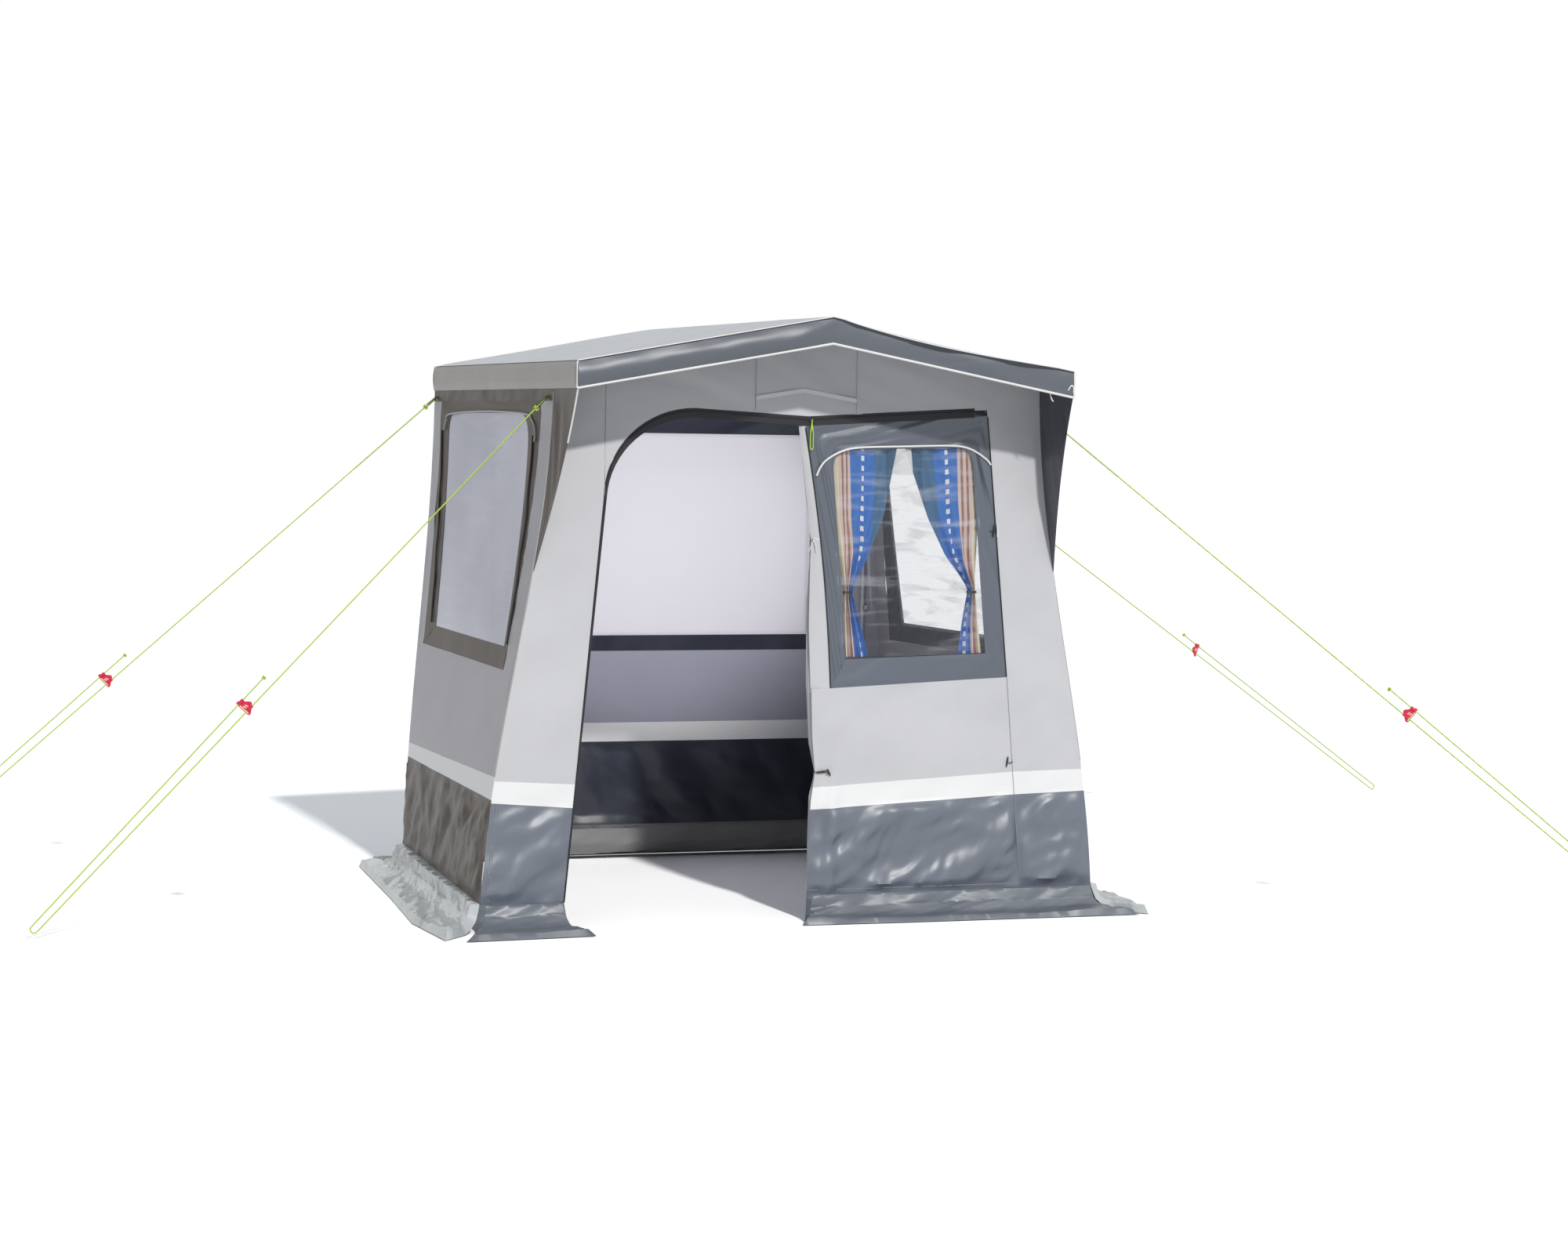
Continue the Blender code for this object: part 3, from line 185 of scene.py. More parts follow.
def curve_object(name, path, radius, material, cyclic=False):
    """Round cord or bead along a path."""
    curve = bpy.data.curves.new(name, "CURVE")
    curve.dimensions = "3D"
    curve.bevel_depth = radius
    curve.bevel_resolution = 3
    curve.use_fill_caps = True
    spline = curve.splines.new("POLY")
    spline.points.add(len(path) - 1)
    for point, at in zip(spline.points, path):
        point.co = (*at, 1)
    spline.use_cyclic_u = cyclic
    spline.use_smooth = True
    curve.materials.append(material)
    made = bpy.data.objects.new(name, curve)
    scene.collection.objects.link(made)
    return made


def to_mesh(made):
    """The curve object as a mesh, with its place in its vertices."""
    bpy.ops.object.select_all(action="DESELECT")
    made.select_set(True)
    bpy.context.view_layer.objects.active = made
    bpy.ops.object.convert(target="MESH")
    made = bpy.context.object
    bpy.ops.object.shade_smooth()
    made.select_set(False)
    return made


def knot(name, center, along, size, radius, material):
    """Trefoil of cord, drawn tight."""
    turn = Vector(along).to_track_quat("Z", "Y").to_matrix()
    path = []
    steps = 48
    for i in range(steps):
        t = 2 * math.pi * i / steps
        local = Vector((math.sin(t) + 2 * math.sin(2 * t), math.cos(t) - 2 * math.cos(2 * t),
                        -1.6 * math.sin(3 * t)))
        path.append(Vector(center) + turn @ (local * size / 3))
    return to_mesh(curve_object(name, path, radius, material, cyclic=True))


def join(name, pieces):
    """The pieces as one object under the given name."""
    bpy.ops.object.select_all(action="DESELECT")
    for piece in pieces:
        piece.select_set(True)
    bpy.context.view_layer.objects.active = pieces[0]
    bpy.ops.object.join()
    made = bpy.context.object
    made.name = name
    made.select_set(False)
    return made


def fixed(piece, body="tent"):
    """The piece, made to ride its body."""
    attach(piece, body)
    return piece


for name, (start, end, across, tail_end) in ROPES.items():
    start, end, across, tail_end = [Vector(point) for point in (start, end, across, tail_end)]
    direction = (end - start).normalized()
    route = [start.lerp(end, i / 23) for i in range(24)]
    for i in range(1, 8):
        angle = math.radians(-90 + 180 * i / 8)
        route.append(end + (across * (1 + math.sin(angle)) + direction * math.cos(angle)) * PEG_LOOP_RADIUS)
    back = end + across * 2 * PEG_LOOP_RADIUS
    route += [back.lerp(tail_end, i / 11) for i in range(12)]
    length = sum((b - a).length for a, b in zip(route, route[1:]))
    rope = fixed(curve_object(f"rope_{name}", route, CORD_RADIUS, braid))
    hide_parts(f"guy_rope_{name}")
    stopper = knot(f"stopper_knot_{name}", tail_end - direction * 0.002, direction, 0.0062, 0.0024, braid)
    hitch = knot(f"hitch_{name}", start + direction * 0.055, direction, 0.0085, 0.0026, braid)
    for piece in (stopper, hitch):
        fixed(piece)

# Frame: 22 mm zinc-plated tubes with 19 mm lower legs, black moulded fittings, clamps and feet.
# The CAD's own solids are shown, with a fine-grained finish for each.
def finish(name, colour, roughness, metallic=0.0):
    """Plain material, with its node tree and its shader for the caller to add to."""
    made = bpy.data.materials.new(name)
    made.use_nodes = True
    shader = made.node_tree.nodes["Principled BSDF"]
    shader.inputs["Base Color"].default_value = (*smooth_colour(*colour), 1)
    shader.inputs["Roughness"].default_value = roughness
    shader.inputs["Metallic"].default_value = metallic
    return made, made.node_tree, shader


def grained(name, colour, darker, roughness, metallic, scale, depth):
    """Finish with a fine grain in its colour, gloss and surface, for tubes, fittings and small trim."""
    made, tree, shader = finish(name, colour, roughness, metallic)
    at = add(tree, "ShaderNodeTexCoord")
    grain = add(tree, "ShaderNodeTexNoise", {"Vector": at.outputs["Object"], "Scale": scale, "Detail": 5.0})
    tree.links.new(shaded(tree, grain.outputs["Fac"], darker, colour), shader.inputs["Base Color"])
    gloss = add(tree, "ShaderNodeMapRange", {0: grain.outputs["Fac"], 3: roughness - 0.08,
                                             4: roughness + 0.08})
    tree.links.new(gloss.outputs[0], shader.inputs["Roughness"])
    tree.links.new(relief(tree, grain.outputs["Fac"], 0.4, depth), shader.inputs["Normal"])
    return made


zinc = grained("zinc_tube", (196, 198, 202), (150, 152, 158), 0.36, 0.9, 60.0, 0.0003)
moulded = grained("moulded_black", (44, 44, 47), (28, 28, 30), 0.5, 0.0, 400.0, 0.0002)
anodised = grained("anodised_red", (226, 52, 84), (188, 24, 50), 0.34, 0.35, 90.0, 0.0002)
puller_cord = grained("puller_cord", (196, 226, 100), (150, 190, 50), 0.6, 0.0, 300.0, 0.0003)
NODE_FINISHES = ((("leg_upper", "leg_lower", "rafter", "eave_pole", "ridge_pole"), zinc),
                 (("leg_foot", "corner_fitting", "ridge_fitting", "zip_slider"), moulded),
                 (("tensioner",), anodised), (("zip_puller",), puller_cord))
for node_name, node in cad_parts.items():
    for starts, material in NODE_FINISHES:
        if node_name.startswith(starts):
            node.material_slots[0].material = material

# Tensioners: flat three-cornered plates of red anodised metal, threaded on the rope, with a cream
# wear strip under it and two painted white bars near the upper corner, as trim on the plate.
cream = grained("cream_plastic", (238, 226, 180), (220, 204, 150), 0.5, 0.0, 200.0, 0.0001)
chalk = grained("white_piping", (246, 246, 244), (226, 226, 224), 0.55, 0.0, 150.0, 0.0003)


def plate_bar(name, center, axes, size, material):
    """Thin bar with rounded edges, placed by its centre and its three axes."""
    bpy.ops.mesh.primitive_cube_add(size=1)
    bar = bpy.context.object
    bar.name = name
    bar.data.transform(Matrix.Diagonal((*size, 1)))
    edge = bar.modifiers.new("edge", "BEVEL")
    edge.width = min(size) * 0.4
    edge.segments = 2
    bpy.ops.object.modifier_apply(modifier="edge")
    turn = Matrix(axes).transposed().to_4x4()
    turn.translation = center
    bar.data.transform(turn)
    bar.data.materials.append(material)
    bpy.ops.object.shade_smooth_by_angle(angle=math.radians(40))
    bar.select_set(False)
    return bar


# How far down its rope each tensioner sits, and how far its trim stands from the plate's middle
SHARES = {"front_left": 0.59, "front_right": 0.607, "back_left": 0.607, "back_right": 0.60}
PLATE_FACE, BAR_SLANT = 0.0019, 0.35
BAR_SIZE, STRIP_SIZE = (0.011, 0.0028, 0.0006), (0.048, 0.0042, 0.0008)
for name, (start, end, across, _) in ROPES.items():
    start, end, across = Vector(start), Vector(end), Vector(across)
    along = (end - start).normalized()
    across = (across - along * across.dot(along)).normalized()
    face = along.cross(across)
    if face.y > 0:
        face = -face
    place = start.lerp(end, SHARES[name])
    on_plate = place + face * PLATE_FACE
    slanted = (across + along * BAR_SLANT, along - across * BAR_SLANT, face)
    trims = [plate_bar(f"bar_{i}_{name}", on_plate + across * high + along * deep, slanted, BAR_SIZE, chalk)
             for i, (high, deep) in enumerate(((0.014, 0.002), (0.015, 0.009)))]
    trims.append(plate_bar(f"wear_strip_{name}", on_plate + across * 0.016 + along * 0.0165,
                           (across, along, face), STRIP_SIZE, cream))
    fixed(join(f"tensioner_trim_{name}", trims), f"rope_tensioner_{name}")

# Roof: two coated canvas panels sewn at the ridge, pale grey, pulled tight over the poles and a
# little slack over the door on the right. Cloth panels are cut flat and held by their edges.
EAVE_HALF, FRONT_BASE, BACK_BASE, DEPTH, OVERHANG = 0.865, 1.10, 0.97, 1.60, 0.27
EAVE_Z, RIDGE_Z, VALANCE_DROP = 1.865, 2.025, 0.09
SLOPE = (RIDGE_Z - EAVE_Z) / EAVE_HALF
VALANCE_FOOT = EAVE_Z - VALANCE_DROP
OUT, ROOF_SEAM = 0.0023, 0.003
SLACK_FROM, SLACK_WIDTH, SLACK = 0.035, 0.773, 0.0175


def roof_line(x):
    """Height of the roof's taut line, from the ridge down to both eaves."""
    return RIDGE_Z - SLOPE * abs(x)


def roof_top(x, y=0.0):
    """Height of the roof's upper face, which hangs slack on the right of the overhang.

    y runs from the front wall to the back.
    """
    share = (x - SLACK_FROM) / SLACK_WIDTH
    slack = 0.0
    if y < 0 and 0 < share < 1:
        slack = SLACK * math.sin(math.pi * share ** 0.8) * min(1.0, -y / OVERHANG)
    return roof_line(x) - slack


def group(name, inputs, outputs):
    """Empty shader node group with its sockets; returns the group and its two end nodes."""
    made = bpy.data.node_groups.new(name, "ShaderNodeTree")
    for label, kind in inputs:
        made.interface.new_socket(label, in_out="INPUT", socket_type=kind)
    for label, kind in outputs:
        made.interface.new_socket(label, in_out="OUTPUT", socket_type=kind)
    return made, made.nodes.new("NodeGroupInput"), made.nodes.new("NodeGroupOutput")


weave, taken, given = group("canvas_weave", [("Vector", "NodeSocketVector"), ("Threads", "NodeSocketFloat")],
                            [("Height", "NodeSocketFloat")])
warp = add(weave, "ShaderNodeTexWave", {"Vector": taken.outputs["Vector"], "Scale": taken.outputs["Threads"],
                                        "Distortion": 1.2}, bands_direction="X")
weft = add(weave, "ShaderNodeTexWave", {"Vector": taken.outputs["Vector"], "Scale": taken.outputs["Threads"],
                                        "Distortion": 1.2}, bands_direction="Y")
cross = add(weave, "ShaderNodeMath", {0: warp.outputs["Fac"], 1: weft.outputs["Fac"]}, operation="MULTIPLY")
weave.links.new(cross.outputs[0], given.inputs["Height"])

creases, taken, given = group("cloth_creases", [("Vector", "NodeSocketVector"), ("Size", "NodeSocketFloat"),
                                                ("Sharp", "NodeSocketFloat"), ("Turn", "NodeSocketFloat")],
                              [("Height", "NodeSocketFloat")])
turned = add(creases, "ShaderNodeCombineXYZ", {2: taken.outputs["Turn"]})
drawn = add(creases, "ShaderNodeMapping", {"Vector": taken.outputs["Vector"], "Rotation": turned.outputs[0],
                                           "Scale": (1.0, 2.2, 1.0)}, vector_type="TEXTURE")
bent = add(creases, "ShaderNodeTexNoise", {"Vector": taken.outputs["Vector"], "Scale": 3.0, "Detail": 2.0})
shift = add(creases, "ShaderNodeMix", {0: 0.12, 4: drawn.outputs[0], 5: bent.outputs["Color"]},
            data_type="VECTOR")
soft = add(creases, "ShaderNodeTexNoise", {"Vector": shift.outputs[1], "Scale": taken.outputs["Size"],
                                           "Detail": 1.6, "Roughness": 0.4})
hard = add(creases, "ShaderNodeTexNoise", {"Vector": shift.outputs[1], "Scale": taken.outputs["Size"],
                                           "Detail": 2.5, "Lacunarity": 2.2},
           noise_type="RIDGED_MULTIFRACTAL")
height = add(creases, "ShaderNodeMix", {0: taken.outputs["Sharp"], 2: soft.outputs["Fac"],
                                        3: hard.outputs["Fac"]}, data_type="FLOAT")
creases.links.new(height.outputs[0], given.inputs["Height"])

mottle, taken, given = group("cloth_mottle", [("Vector", "NodeSocketVector"), ("Colour", "NodeSocketColor"),
                                              ("Amount", "NodeSocketFloat")],
                             [("Colour", "NodeSocketColor")])
patch = add(mottle, "ShaderNodeTexNoise", {"Vector": taken.outputs["Vector"], "Scale": 2.6, "Detail": 6.0,
                                           "Roughness": 0.6})
dim = add(mottle, "ShaderNodeMapRange", {0: patch.outputs["Fac"], 1: 0.3, 2: 0.7, 3: 1.0, 4: 0.86})
deep = add(mottle, "ShaderNodeMix", {0: taken.outputs["Amount"], 6: taken.outputs["Colour"], 7: (0, 0, 0, 1)},
           data_type="RGBA")
worn = add(mottle, "ShaderNodeMix", {0: dim.outputs[0], 6: deep.outputs[2], 7: taken.outputs["Colour"]},
           data_type="RGBA")
mottle.links.new(worn.outputs[2], given.inputs["Colour"])


def cloth_finish(name, colour, roughness, threads=0.25, crease=0.3, size=9.0, sharp=0.3, amount=0.8,
                 gloss=0.5, depth=0.02, turn=0.8):
    """Cloth on its own UV map in metres: weave, creases and uneven tone."""
    made, tree, shader = finish(name, colour, roughness)
    uv = add(tree, "ShaderNodeUVMap", uv_map="cloth").outputs[0]
    tone = add(tree, "ShaderNodeGroup", {"Vector": uv, "Colour": (*smooth_colour(*colour), 1),
                                         "Amount": amount}, node_tree=mottle)
    tree.links.new(tone.outputs["Colour"], shader.inputs["Base Color"])
    thread = add(tree, "ShaderNodeGroup", {"Vector": uv, "Threads": 160.0}, node_tree=weave)
    wrinkle = add(tree, "ShaderNodeGroup", {"Vector": uv, "Size": size, "Sharp": sharp, "Turn": turn},
                  node_tree=creases)
    fine = relief(tree, thread.outputs["Height"], threads, 0.0004)
    coarse = relief(tree, wrinkle.outputs["Height"], crease, depth, Normal=fine)
    tree.links.new(coarse, shader.inputs["Normal"])
    shader.inputs["Specular IOR Level"].default_value = gloss
    return made


def smooth_step(value):
    """Value held between 0 and 1, with a soft start and end."""
    value = np.clip(value, 0, 1)
    return value * value * (3 - 2 * value)


def folds(seed, u, v, layers, lift):
    """How far layers of folds push each point out of the cloth, only outwards if lift is set."""
    rows, columns = u.shape
    push = np.zeros((rows, columns))
    for width, length, slant, depth, sharp, *reach in layers:
        turn = math.radians(slant)
        a = (u * math.cos(turn) + v * math.sin(turn)) / width
        b = (v * math.cos(turn) - u * math.sin(turn)) / length
        value = np.array([[noise.noise((a[i, j], b[i, j], seed)) for j in range(columns)]
                          for i in range(rows)])
        if sharp:
            value = 1 - 2.2 * np.abs(value)
        if reach:
            count = np.arange(rows)[:, None]
            value = value * smooth_step((count - reach[0]) / 2) * smooth_step((reach[1] - count) / 2)
        push += depth * (0.5 + 0.5 * value if lift else value)
    return push


# Least share of a sheet's flat size that its cloth can cover
LEAST_SHARE = 0.301


def cloth(name, points, outward, finishes, layers=(), paint=None, hole=None, margin=0.03, lift=False,
          closed=False, held="stretched", replaces=(), slot="wall_cloth", thickness=0.0011, calm=None):
    """Cloth panel from a grid of points, with folds pushed out of its plane and a real thickness.

    layers are (width, length, slant in degrees, depth, sharp, rows) of the folds, where rows are the
    first and last row that they reach, if not all. paint and hole take a face's row and column:
    paint gives its finish, and hole is true where the cloth is cut out. Above calm no fold rises.
    """
    points = np.array(points, float)
    rows, columns = points.shape[:2]
    step_u = np.linalg.norm(np.diff(points, axis=1), axis=2)
    step_v = np.linalg.norm(np.diff(points, axis=0), axis=2)
    u = np.concatenate([np.zeros((rows, 1)), np.cumsum(step_u, axis=1)], axis=1)
    v = np.concatenate([np.zeros((1, columns)), np.cumsum(step_v, axis=0)], axis=0)
    run_u = np.gradient(points, axis=1)
    run_v = np.gradient(points, axis=0)
    normal = np.cross(run_u, run_v)
    normal /= np.linalg.norm(normal, axis=2, keepdims=True) + 1e-12
    flip = np.dot(normal[rows // 2, columns // 2], outward) < 0
    if flip:
        normal = -normal
    edge_v = np.minimum(v, v[-1:] - v) / margin
    edge_u = np.ones_like(edge_v) if closed else np.minimum(u, u[:, -1:] - u) / margin
    fade = smooth_step(edge_u) * smooth_step(edge_v)
    if calm is not None:
        fade = fade * smooth_step((calm - points[..., 2]) / 0.08)
    seed = sum(ord(letter) for letter in name) % 97
    bent = points + normal * (folds(seed, u, v, layers, lift) * fade)[..., None]
    kept = [(i, j) for i in range(rows - 1) for j in range(columns - 1) if not (hole and hole(i, j))]
    faces = []
    for i, j in kept:
        corner = i * columns + j
        face = (corner, corner + 1, corner + columns + 1, corner + columns)
        faces.append(face[::-1] if flip else face)
    mesh = bpy.data.meshes.new(name)
    mesh.from_pydata([tuple(point) for point in bent.reshape(-1, 3)], [], faces)
    for material in finishes:
        mesh.materials.append(material)
    mesh.polygons.foreach_set("material_index", [paint(i, j) if paint else 0 for i, j in kept])
    layer = mesh.uv_layers.new(name="cloth")
    flat_u = u.reshape(-1)
    flat_v = v.reshape(-1)
    for loop in mesh.loops:
        layer.data[loop.index].uv = (flat_u[loop.vertex_index], flat_v[loop.vertex_index])
    made = bpy.data.objects.new(name, mesh)
    scene.collection.objects.link(made)
    bm = bmesh.new()
    bm.from_mesh(mesh)
    bmesh.ops.delete(bm, geom=[vert for vert in bm.verts if not vert.link_faces], context="VERTS")
    if closed:
        bmesh.ops.remove_doubles(bm, verts=bm.verts, dist=1e-5)
    bm.to_mesh(mesh)
    bm.free()
    bpy.context.view_layer.objects.active = made
    made.select_set(True)
    thick = made.modifiers.new("thickness", "SOLIDIFY")
    thick.thickness = thickness
    thick.offset = -1
    bpy.ops.object.modifier_apply(modifier="thickness")
    bpy.ops.object.shade_smooth_by_angle(angle=math.radians(50))
    made.select_set(False)
    fixed(made)
    if replaces:
        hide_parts(*replaces)
    width = float(step_u.sum(axis=1).max())
    length = float(step_v.sum(axis=0).max())
    area = 0.0
    for i, j in kept:
        a, b, c, d = points[i, j], points[i, j + 1], points[i + 1, j + 1], points[i + 1, j]
        area += 0.5 * float(np.linalg.norm(np.cross(c - a, d - b)))
    area = max(min(area, width * length), LEAST_SHARE * width * length)
    return made


def piping(name, path, radius, material):
    """Cord, bead or seam line along a path on the cloth."""
    return fixed(to_mesh(curve_object(name, path, radius, material)))


roof_finish = cloth_finish("roof_canvas", (192, 195, 200), 0.5, threads=0.2, crease=0.35, size=3.0, sharp=0.1,
                           amount=0.7, depth=0.03)
REACH = EAVE_HALF + OUT
for name, side in (("left", -1), ("right", 1)):
    ys = np.linspace(-OVERHANG - OUT, DEPTH + OUT, 48)
    xs = np.linspace(0.0, REACH, 26) * side
    grid = [[(x, FRONT_Y + y, roof_top(x, y)) for x in xs] for y in ys]
    cloth(f"roof_canvas_{name}", grid, (0, 0, 1), [roof_finish],
          [(0.5, 0.7, 20, 0.006, False), (0.11, 0.6, 75, 0.0018, False)], lift=True, margin=0.05,
          replaces=(f"roof_{name}",), slot="roof_cloth")

# Valance: canvas strip sewn to the roof's edge all round, dark grey in front, with white piping in its
# hem, up the front corners and along the roof edge. Along the left side it is pale taupe: painted warm light.
slate = cloth_finish("valance_slate", (76, 82, 93), 0.41, gloss=1.0, crease=0.6, size=5.0, sharp=0.15,
                     depth=0.03)
# Pale taupe copy of the valance cloth for the left side: painted warm light.
taupe = cloth_finish("valance_taupe", (158, 153, 148), 0.42, crease=0.12, size=4.0, sharp=0.0, turn=1.5)

# The front strip bellies out on the left of the ridge and lies nearly flat on the right
BELLY_LEFT, BELLY_RIGHT, BELLY_GROWTH = 0.0175, 0.003, 0.145
GABLE_XS = np.concatenate([np.linspace(-REACH, 0, 46), np.linspace(0, REACH, 46)[1:]])
for name, y, outward, replaced in (("front", -OVERHANG - OUT, (0, -1, 0), ("roof_valance",)),
                                   ("back", DEPTH + OUT, (0, 1, 0), ())):
    grid = []
    for share in np.linspace(0, 1, 10):
        bulge = math.sin(math.pi * share) * outward[1]
        row = []
        for x in GABLE_XS:
            belly = BELLY_LEFT if x < -0.1 else BELLY_RIGHT - BELLY_GROWTH * min(0, x)
            z = (roof_line(x) - VALANCE_DROP) * (1 - share) + (roof_top(x, y) - ROOF_SEAM) * share
            row.append((x, FRONT_Y + y + bulge * belly, z))
        grid.append(row)
    cloth(f"valance_{name}", grid, outward, [slate],
          [(0.22, 0.5, 0, 0.004, False), (0.08, 0.2, 60, 0.004, False), (0.03, 0.16, 105, 0.0012, True)],
          margin=0.02, held="hung", slot="valance_cloth", replaces=replaced)
for name, side, paint in (("left", -1, taupe), ("right", 1, slate)):
    ys = np.linspace(-OVERHANG - OUT, DEPTH + OUT, 140)
    grid = [[(side * REACH, FRONT_Y + y, z) for y in ys]
            for z in np.linspace(VALANCE_FOOT, EAVE_Z - 0.0032, 10)]
    cloth(f"valance_{name}", grid, (side, 0, 0), [paint],
          [(0.2, 0.6, 0, 0.006, False), (0.06, 0.2, 70, 0.003, False)],
          margin=0.02, lift=True, held="hung", slot="valance_cloth")
y = FRONT_Y - OVERHANG - OUT
hem = [(x, y - 0.0008, roof_line(x) - VALANCE_DROP + 0.001) for x in GABLE_XS]
edge = [(x, y - 0.0004, roof_top(x, -OVERHANG) - 0.0015) for x in GABLE_XS]
piping("hem_piping", hem, 0.0042, chalk)
piping("roof_edge_piping", edge, 0.0022, chalk)
# Dark strip just under the roof's front edge, wider under the slack on the right: painted shade where the
# valance's top tucks under the edge.
painted_edge_shade = cloth_finish("roof_binding", (44, 46, 58), 0.4, crease=0.1)
grid = []
for share in (0.0, 0.35, 0.7, 1.0):
    row = []
    for x in GABLE_XS:
        wide = 0.005 + 0.010 * smooth_step(x / 0.12) * smooth_step((0.86 - x) / 0.2)
        row.append((x, y - 0.0016 - 0.0015 * share, roof_top(x, -OVERHANG) - ROOF_SEAM - wide * (1 - share)))
    grid.append(row)
cloth("roof_binding_cloth", grid, (0, -1, 0), [painted_edge_shade], margin=0.01, slot="valance_cloth")
for name, side in (("left", -1), ("right", 1)):
    x = side * (REACH + 0.0005)
    piping(f"corner_piping_{name}", [(x, y - 0.0006, VALANCE_FOOT), (x, y - 0.0006, EAVE_Z - 0.004)],
           0.0034, chalk)

# Walls: coated canvas in pale grey with a dark wipe-clean PVC foot, a lighter stripe sewn between
# them, and PVC panels with clear foil windows. Every panel is a grid between its sewn edges.
def half_width(y, z):
    """Half the tent's width at a height; the walls lean out towards the ground."""
    share = max(0.0, 1 - z / VALANCE_FOOT)
    flare = 0.85 * (3 * share ** 2 - 2 * share ** 3) + 0.15 * share
    base = FRONT_BASE + (BACK_BASE - FRONT_BASE) * min(1, max(0, y / DEPTH))
    return EAVE_HALF + (base - EAVE_HALF) * flare


def mix(a, b, share):
    """The number or point at a share of the way from a to b."""
    return np.array(a) + (np.array(b) - np.array(a)) * share


def levels(values, counts):
    """Numbers or points through the given ones, with so many steps between each pair."""
    made = [values[0]]
    for before, after, count in zip(values, values[1:], counts):
        made += [before + (after - before) * (i + 1) / count for i in range(count)]
    return made


def pvc_finish(name, colour, roughness=0.42, crease=1.0, size=6.0, sharp=0.15, depth=0.06, **given):
    """Coated cloth that hides its weave and takes long creases."""
    return cloth_finish(name, colour, roughness, threads=0.05, crease=crease, size=size, sharp=sharp,
                        depth=depth, **given)


canvas = cloth_finish("wall_canvas", (207, 207, 211), 0.5, crease=0.9, gloss=0.35, size=3.2, sharp=0.12,
                      amount=0.6, depth=0.03, turn=0.5)
# Darker copy of the wall canvas for both side walls: painted shade.
canvas_side_painted_shade = cloth_finish("side_canvas", (172, 170, 176), 0.42, gloss=0.3, size=5.0, sharp=0.2, amount=0.5,
                           turn=1.45)
stripe = cloth_finish("wall_stripe", (240, 240, 241), 0.45, crease=0.5, size=5.0, sharp=0.2, amount=0.25)
# Darker, bluer copy of the wall canvas for the back wall: painted shade inside the tent.
canvas_back_painted_shade = cloth_finish("back_canvas", (164, 164, 180), 0.45, crease=0.2, size=6.0, sharp=0.2, amount=0.4)
pvc_left = pvc_finish("wall_pvc_left", (102, 109, 122), gloss=0.9)
pvc_right = pvc_finish("wall_pvc_right", (102, 109, 122), gloss=0.9, turn=-0.8)
# Darker copy of the wall's PVC for the front window's panel: painted shade of the roof over its header.
pvc_frame_painted_shade = pvc_finish("frame_pvc", (88, 95, 108), size=5.0, depth=0.05, gloss=0.8, turn=2.2)
# Brown copy of the PVC for the left wall's foot: painted warm shade on the left side.
pvc_brown_painted_shade = pvc_finish("side_pvc", (78, 68, 59), crease=0.9, size=9.0, sharp=0.5, depth=0.05, gloss=0.14,
                       turn=1.35)
# Brown copy of the PVC for the left window's surround: painted warm shade.
brown_hem_painted_shade = pvc_finish("surround_brown", (84, 75, 67), 0.45, crease=0.4, size=5.0, sharp=0.1, depth=0.02,
                       gloss=0.12, amount=0.6, turn=1.45)
pvc_navy = pvc_finish("back_pvc", (52, 55, 68), 0.4, size=5.0, gloss=0.5, amount=0.7)
FOLDS = [(0.16, 0.9, 78, 0.006, False), (0.05, 0.4, 70, 0.0022, False)]
FOOT_STEPS, STRIPE_STEPS = 24, 5
CALM_FROM = 1.76


def crumple(last, depth, way=1):
    """Broad slack folds and sharp creases of a PVC foot, up to its last row."""
    return [(0.12, 0.40, 42 * way, depth, False, 0, last),
            (0.07, 0.22, 65 * way, depth * 0.4, True, 0, last),
            (0.04, 0.14, 25 * way, depth * 0.2, True, 0, last)]


def banded(foot=FOOT_STEPS, stripe_steps=STRIPE_STEPS, head=math.inf):
    """Finish of a face by its row: PVC foot, stripe, canvas, and PVC again from the head on."""
    def paint(i, j):
        if i < foot or i >= head:
            return 0
        return 1 if i < foot + stripe_steps else 2
    return paint


def opening(rows, columns):
    """Test for the faces of a window opening, whose steps are the last ones in rows and columns."""
    top, right = sum(rows), sum(columns)
    return lambda i, j: top - rows[-1] <= i < top and right - columns[-1] <= j < right


# Side walls: the stripe's heights at the front and the back, and the window opening's limits
WALL_FOOT, WALL_TOP = 0.09, EAVE_Z - 0.0036
STRIPE_FOOT, STRIPE_TOP = (0.431, 0.418), (0.506, 0.469)
OPENING_Y, OPENING_Z = (0.15, 1.49), (0.845, 1.735)
SIDE_ROWS, SIDE_COLUMNS = (FOOT_STEPS, STRIPE_STEPS, 20, 44, 8), (10, 84, 8)
for name, side, foot_cloth in (("left", -1, pvc_brown_painted_shade), ("right", 1, pvc_navy)):
    columns = []
    for y in levels([0.0, *OPENING_Y, DEPTH], SIDE_COLUMNS):
        seams = [mix(*ends, y / DEPTH) for ends in (STRIPE_FOOT, STRIPE_TOP)]
        columns.append([(side * half_width(y, z), FRONT_Y + y, z)
                        for z in levels([WALL_FOOT, *seams, *OPENING_Z, WALL_TOP], SIDE_ROWS)])
    cloth(f"{name}_wall_cloth", np.array(columns).transpose(1, 0, 2), (side, 0, 0),
          [foot_cloth, stripe, canvas_side_painted_shade], FOLDS + crumple(FOOT_STEPS, 0.014), margin=0.04, calm=CALM_FROM,
          paint=banded(head=sum(SIDE_ROWS[:4])), hole=opening(SIDE_ROWS[:4], SIDE_COLUMNS[:2]),
          replaces=(f"{name}_wall",))

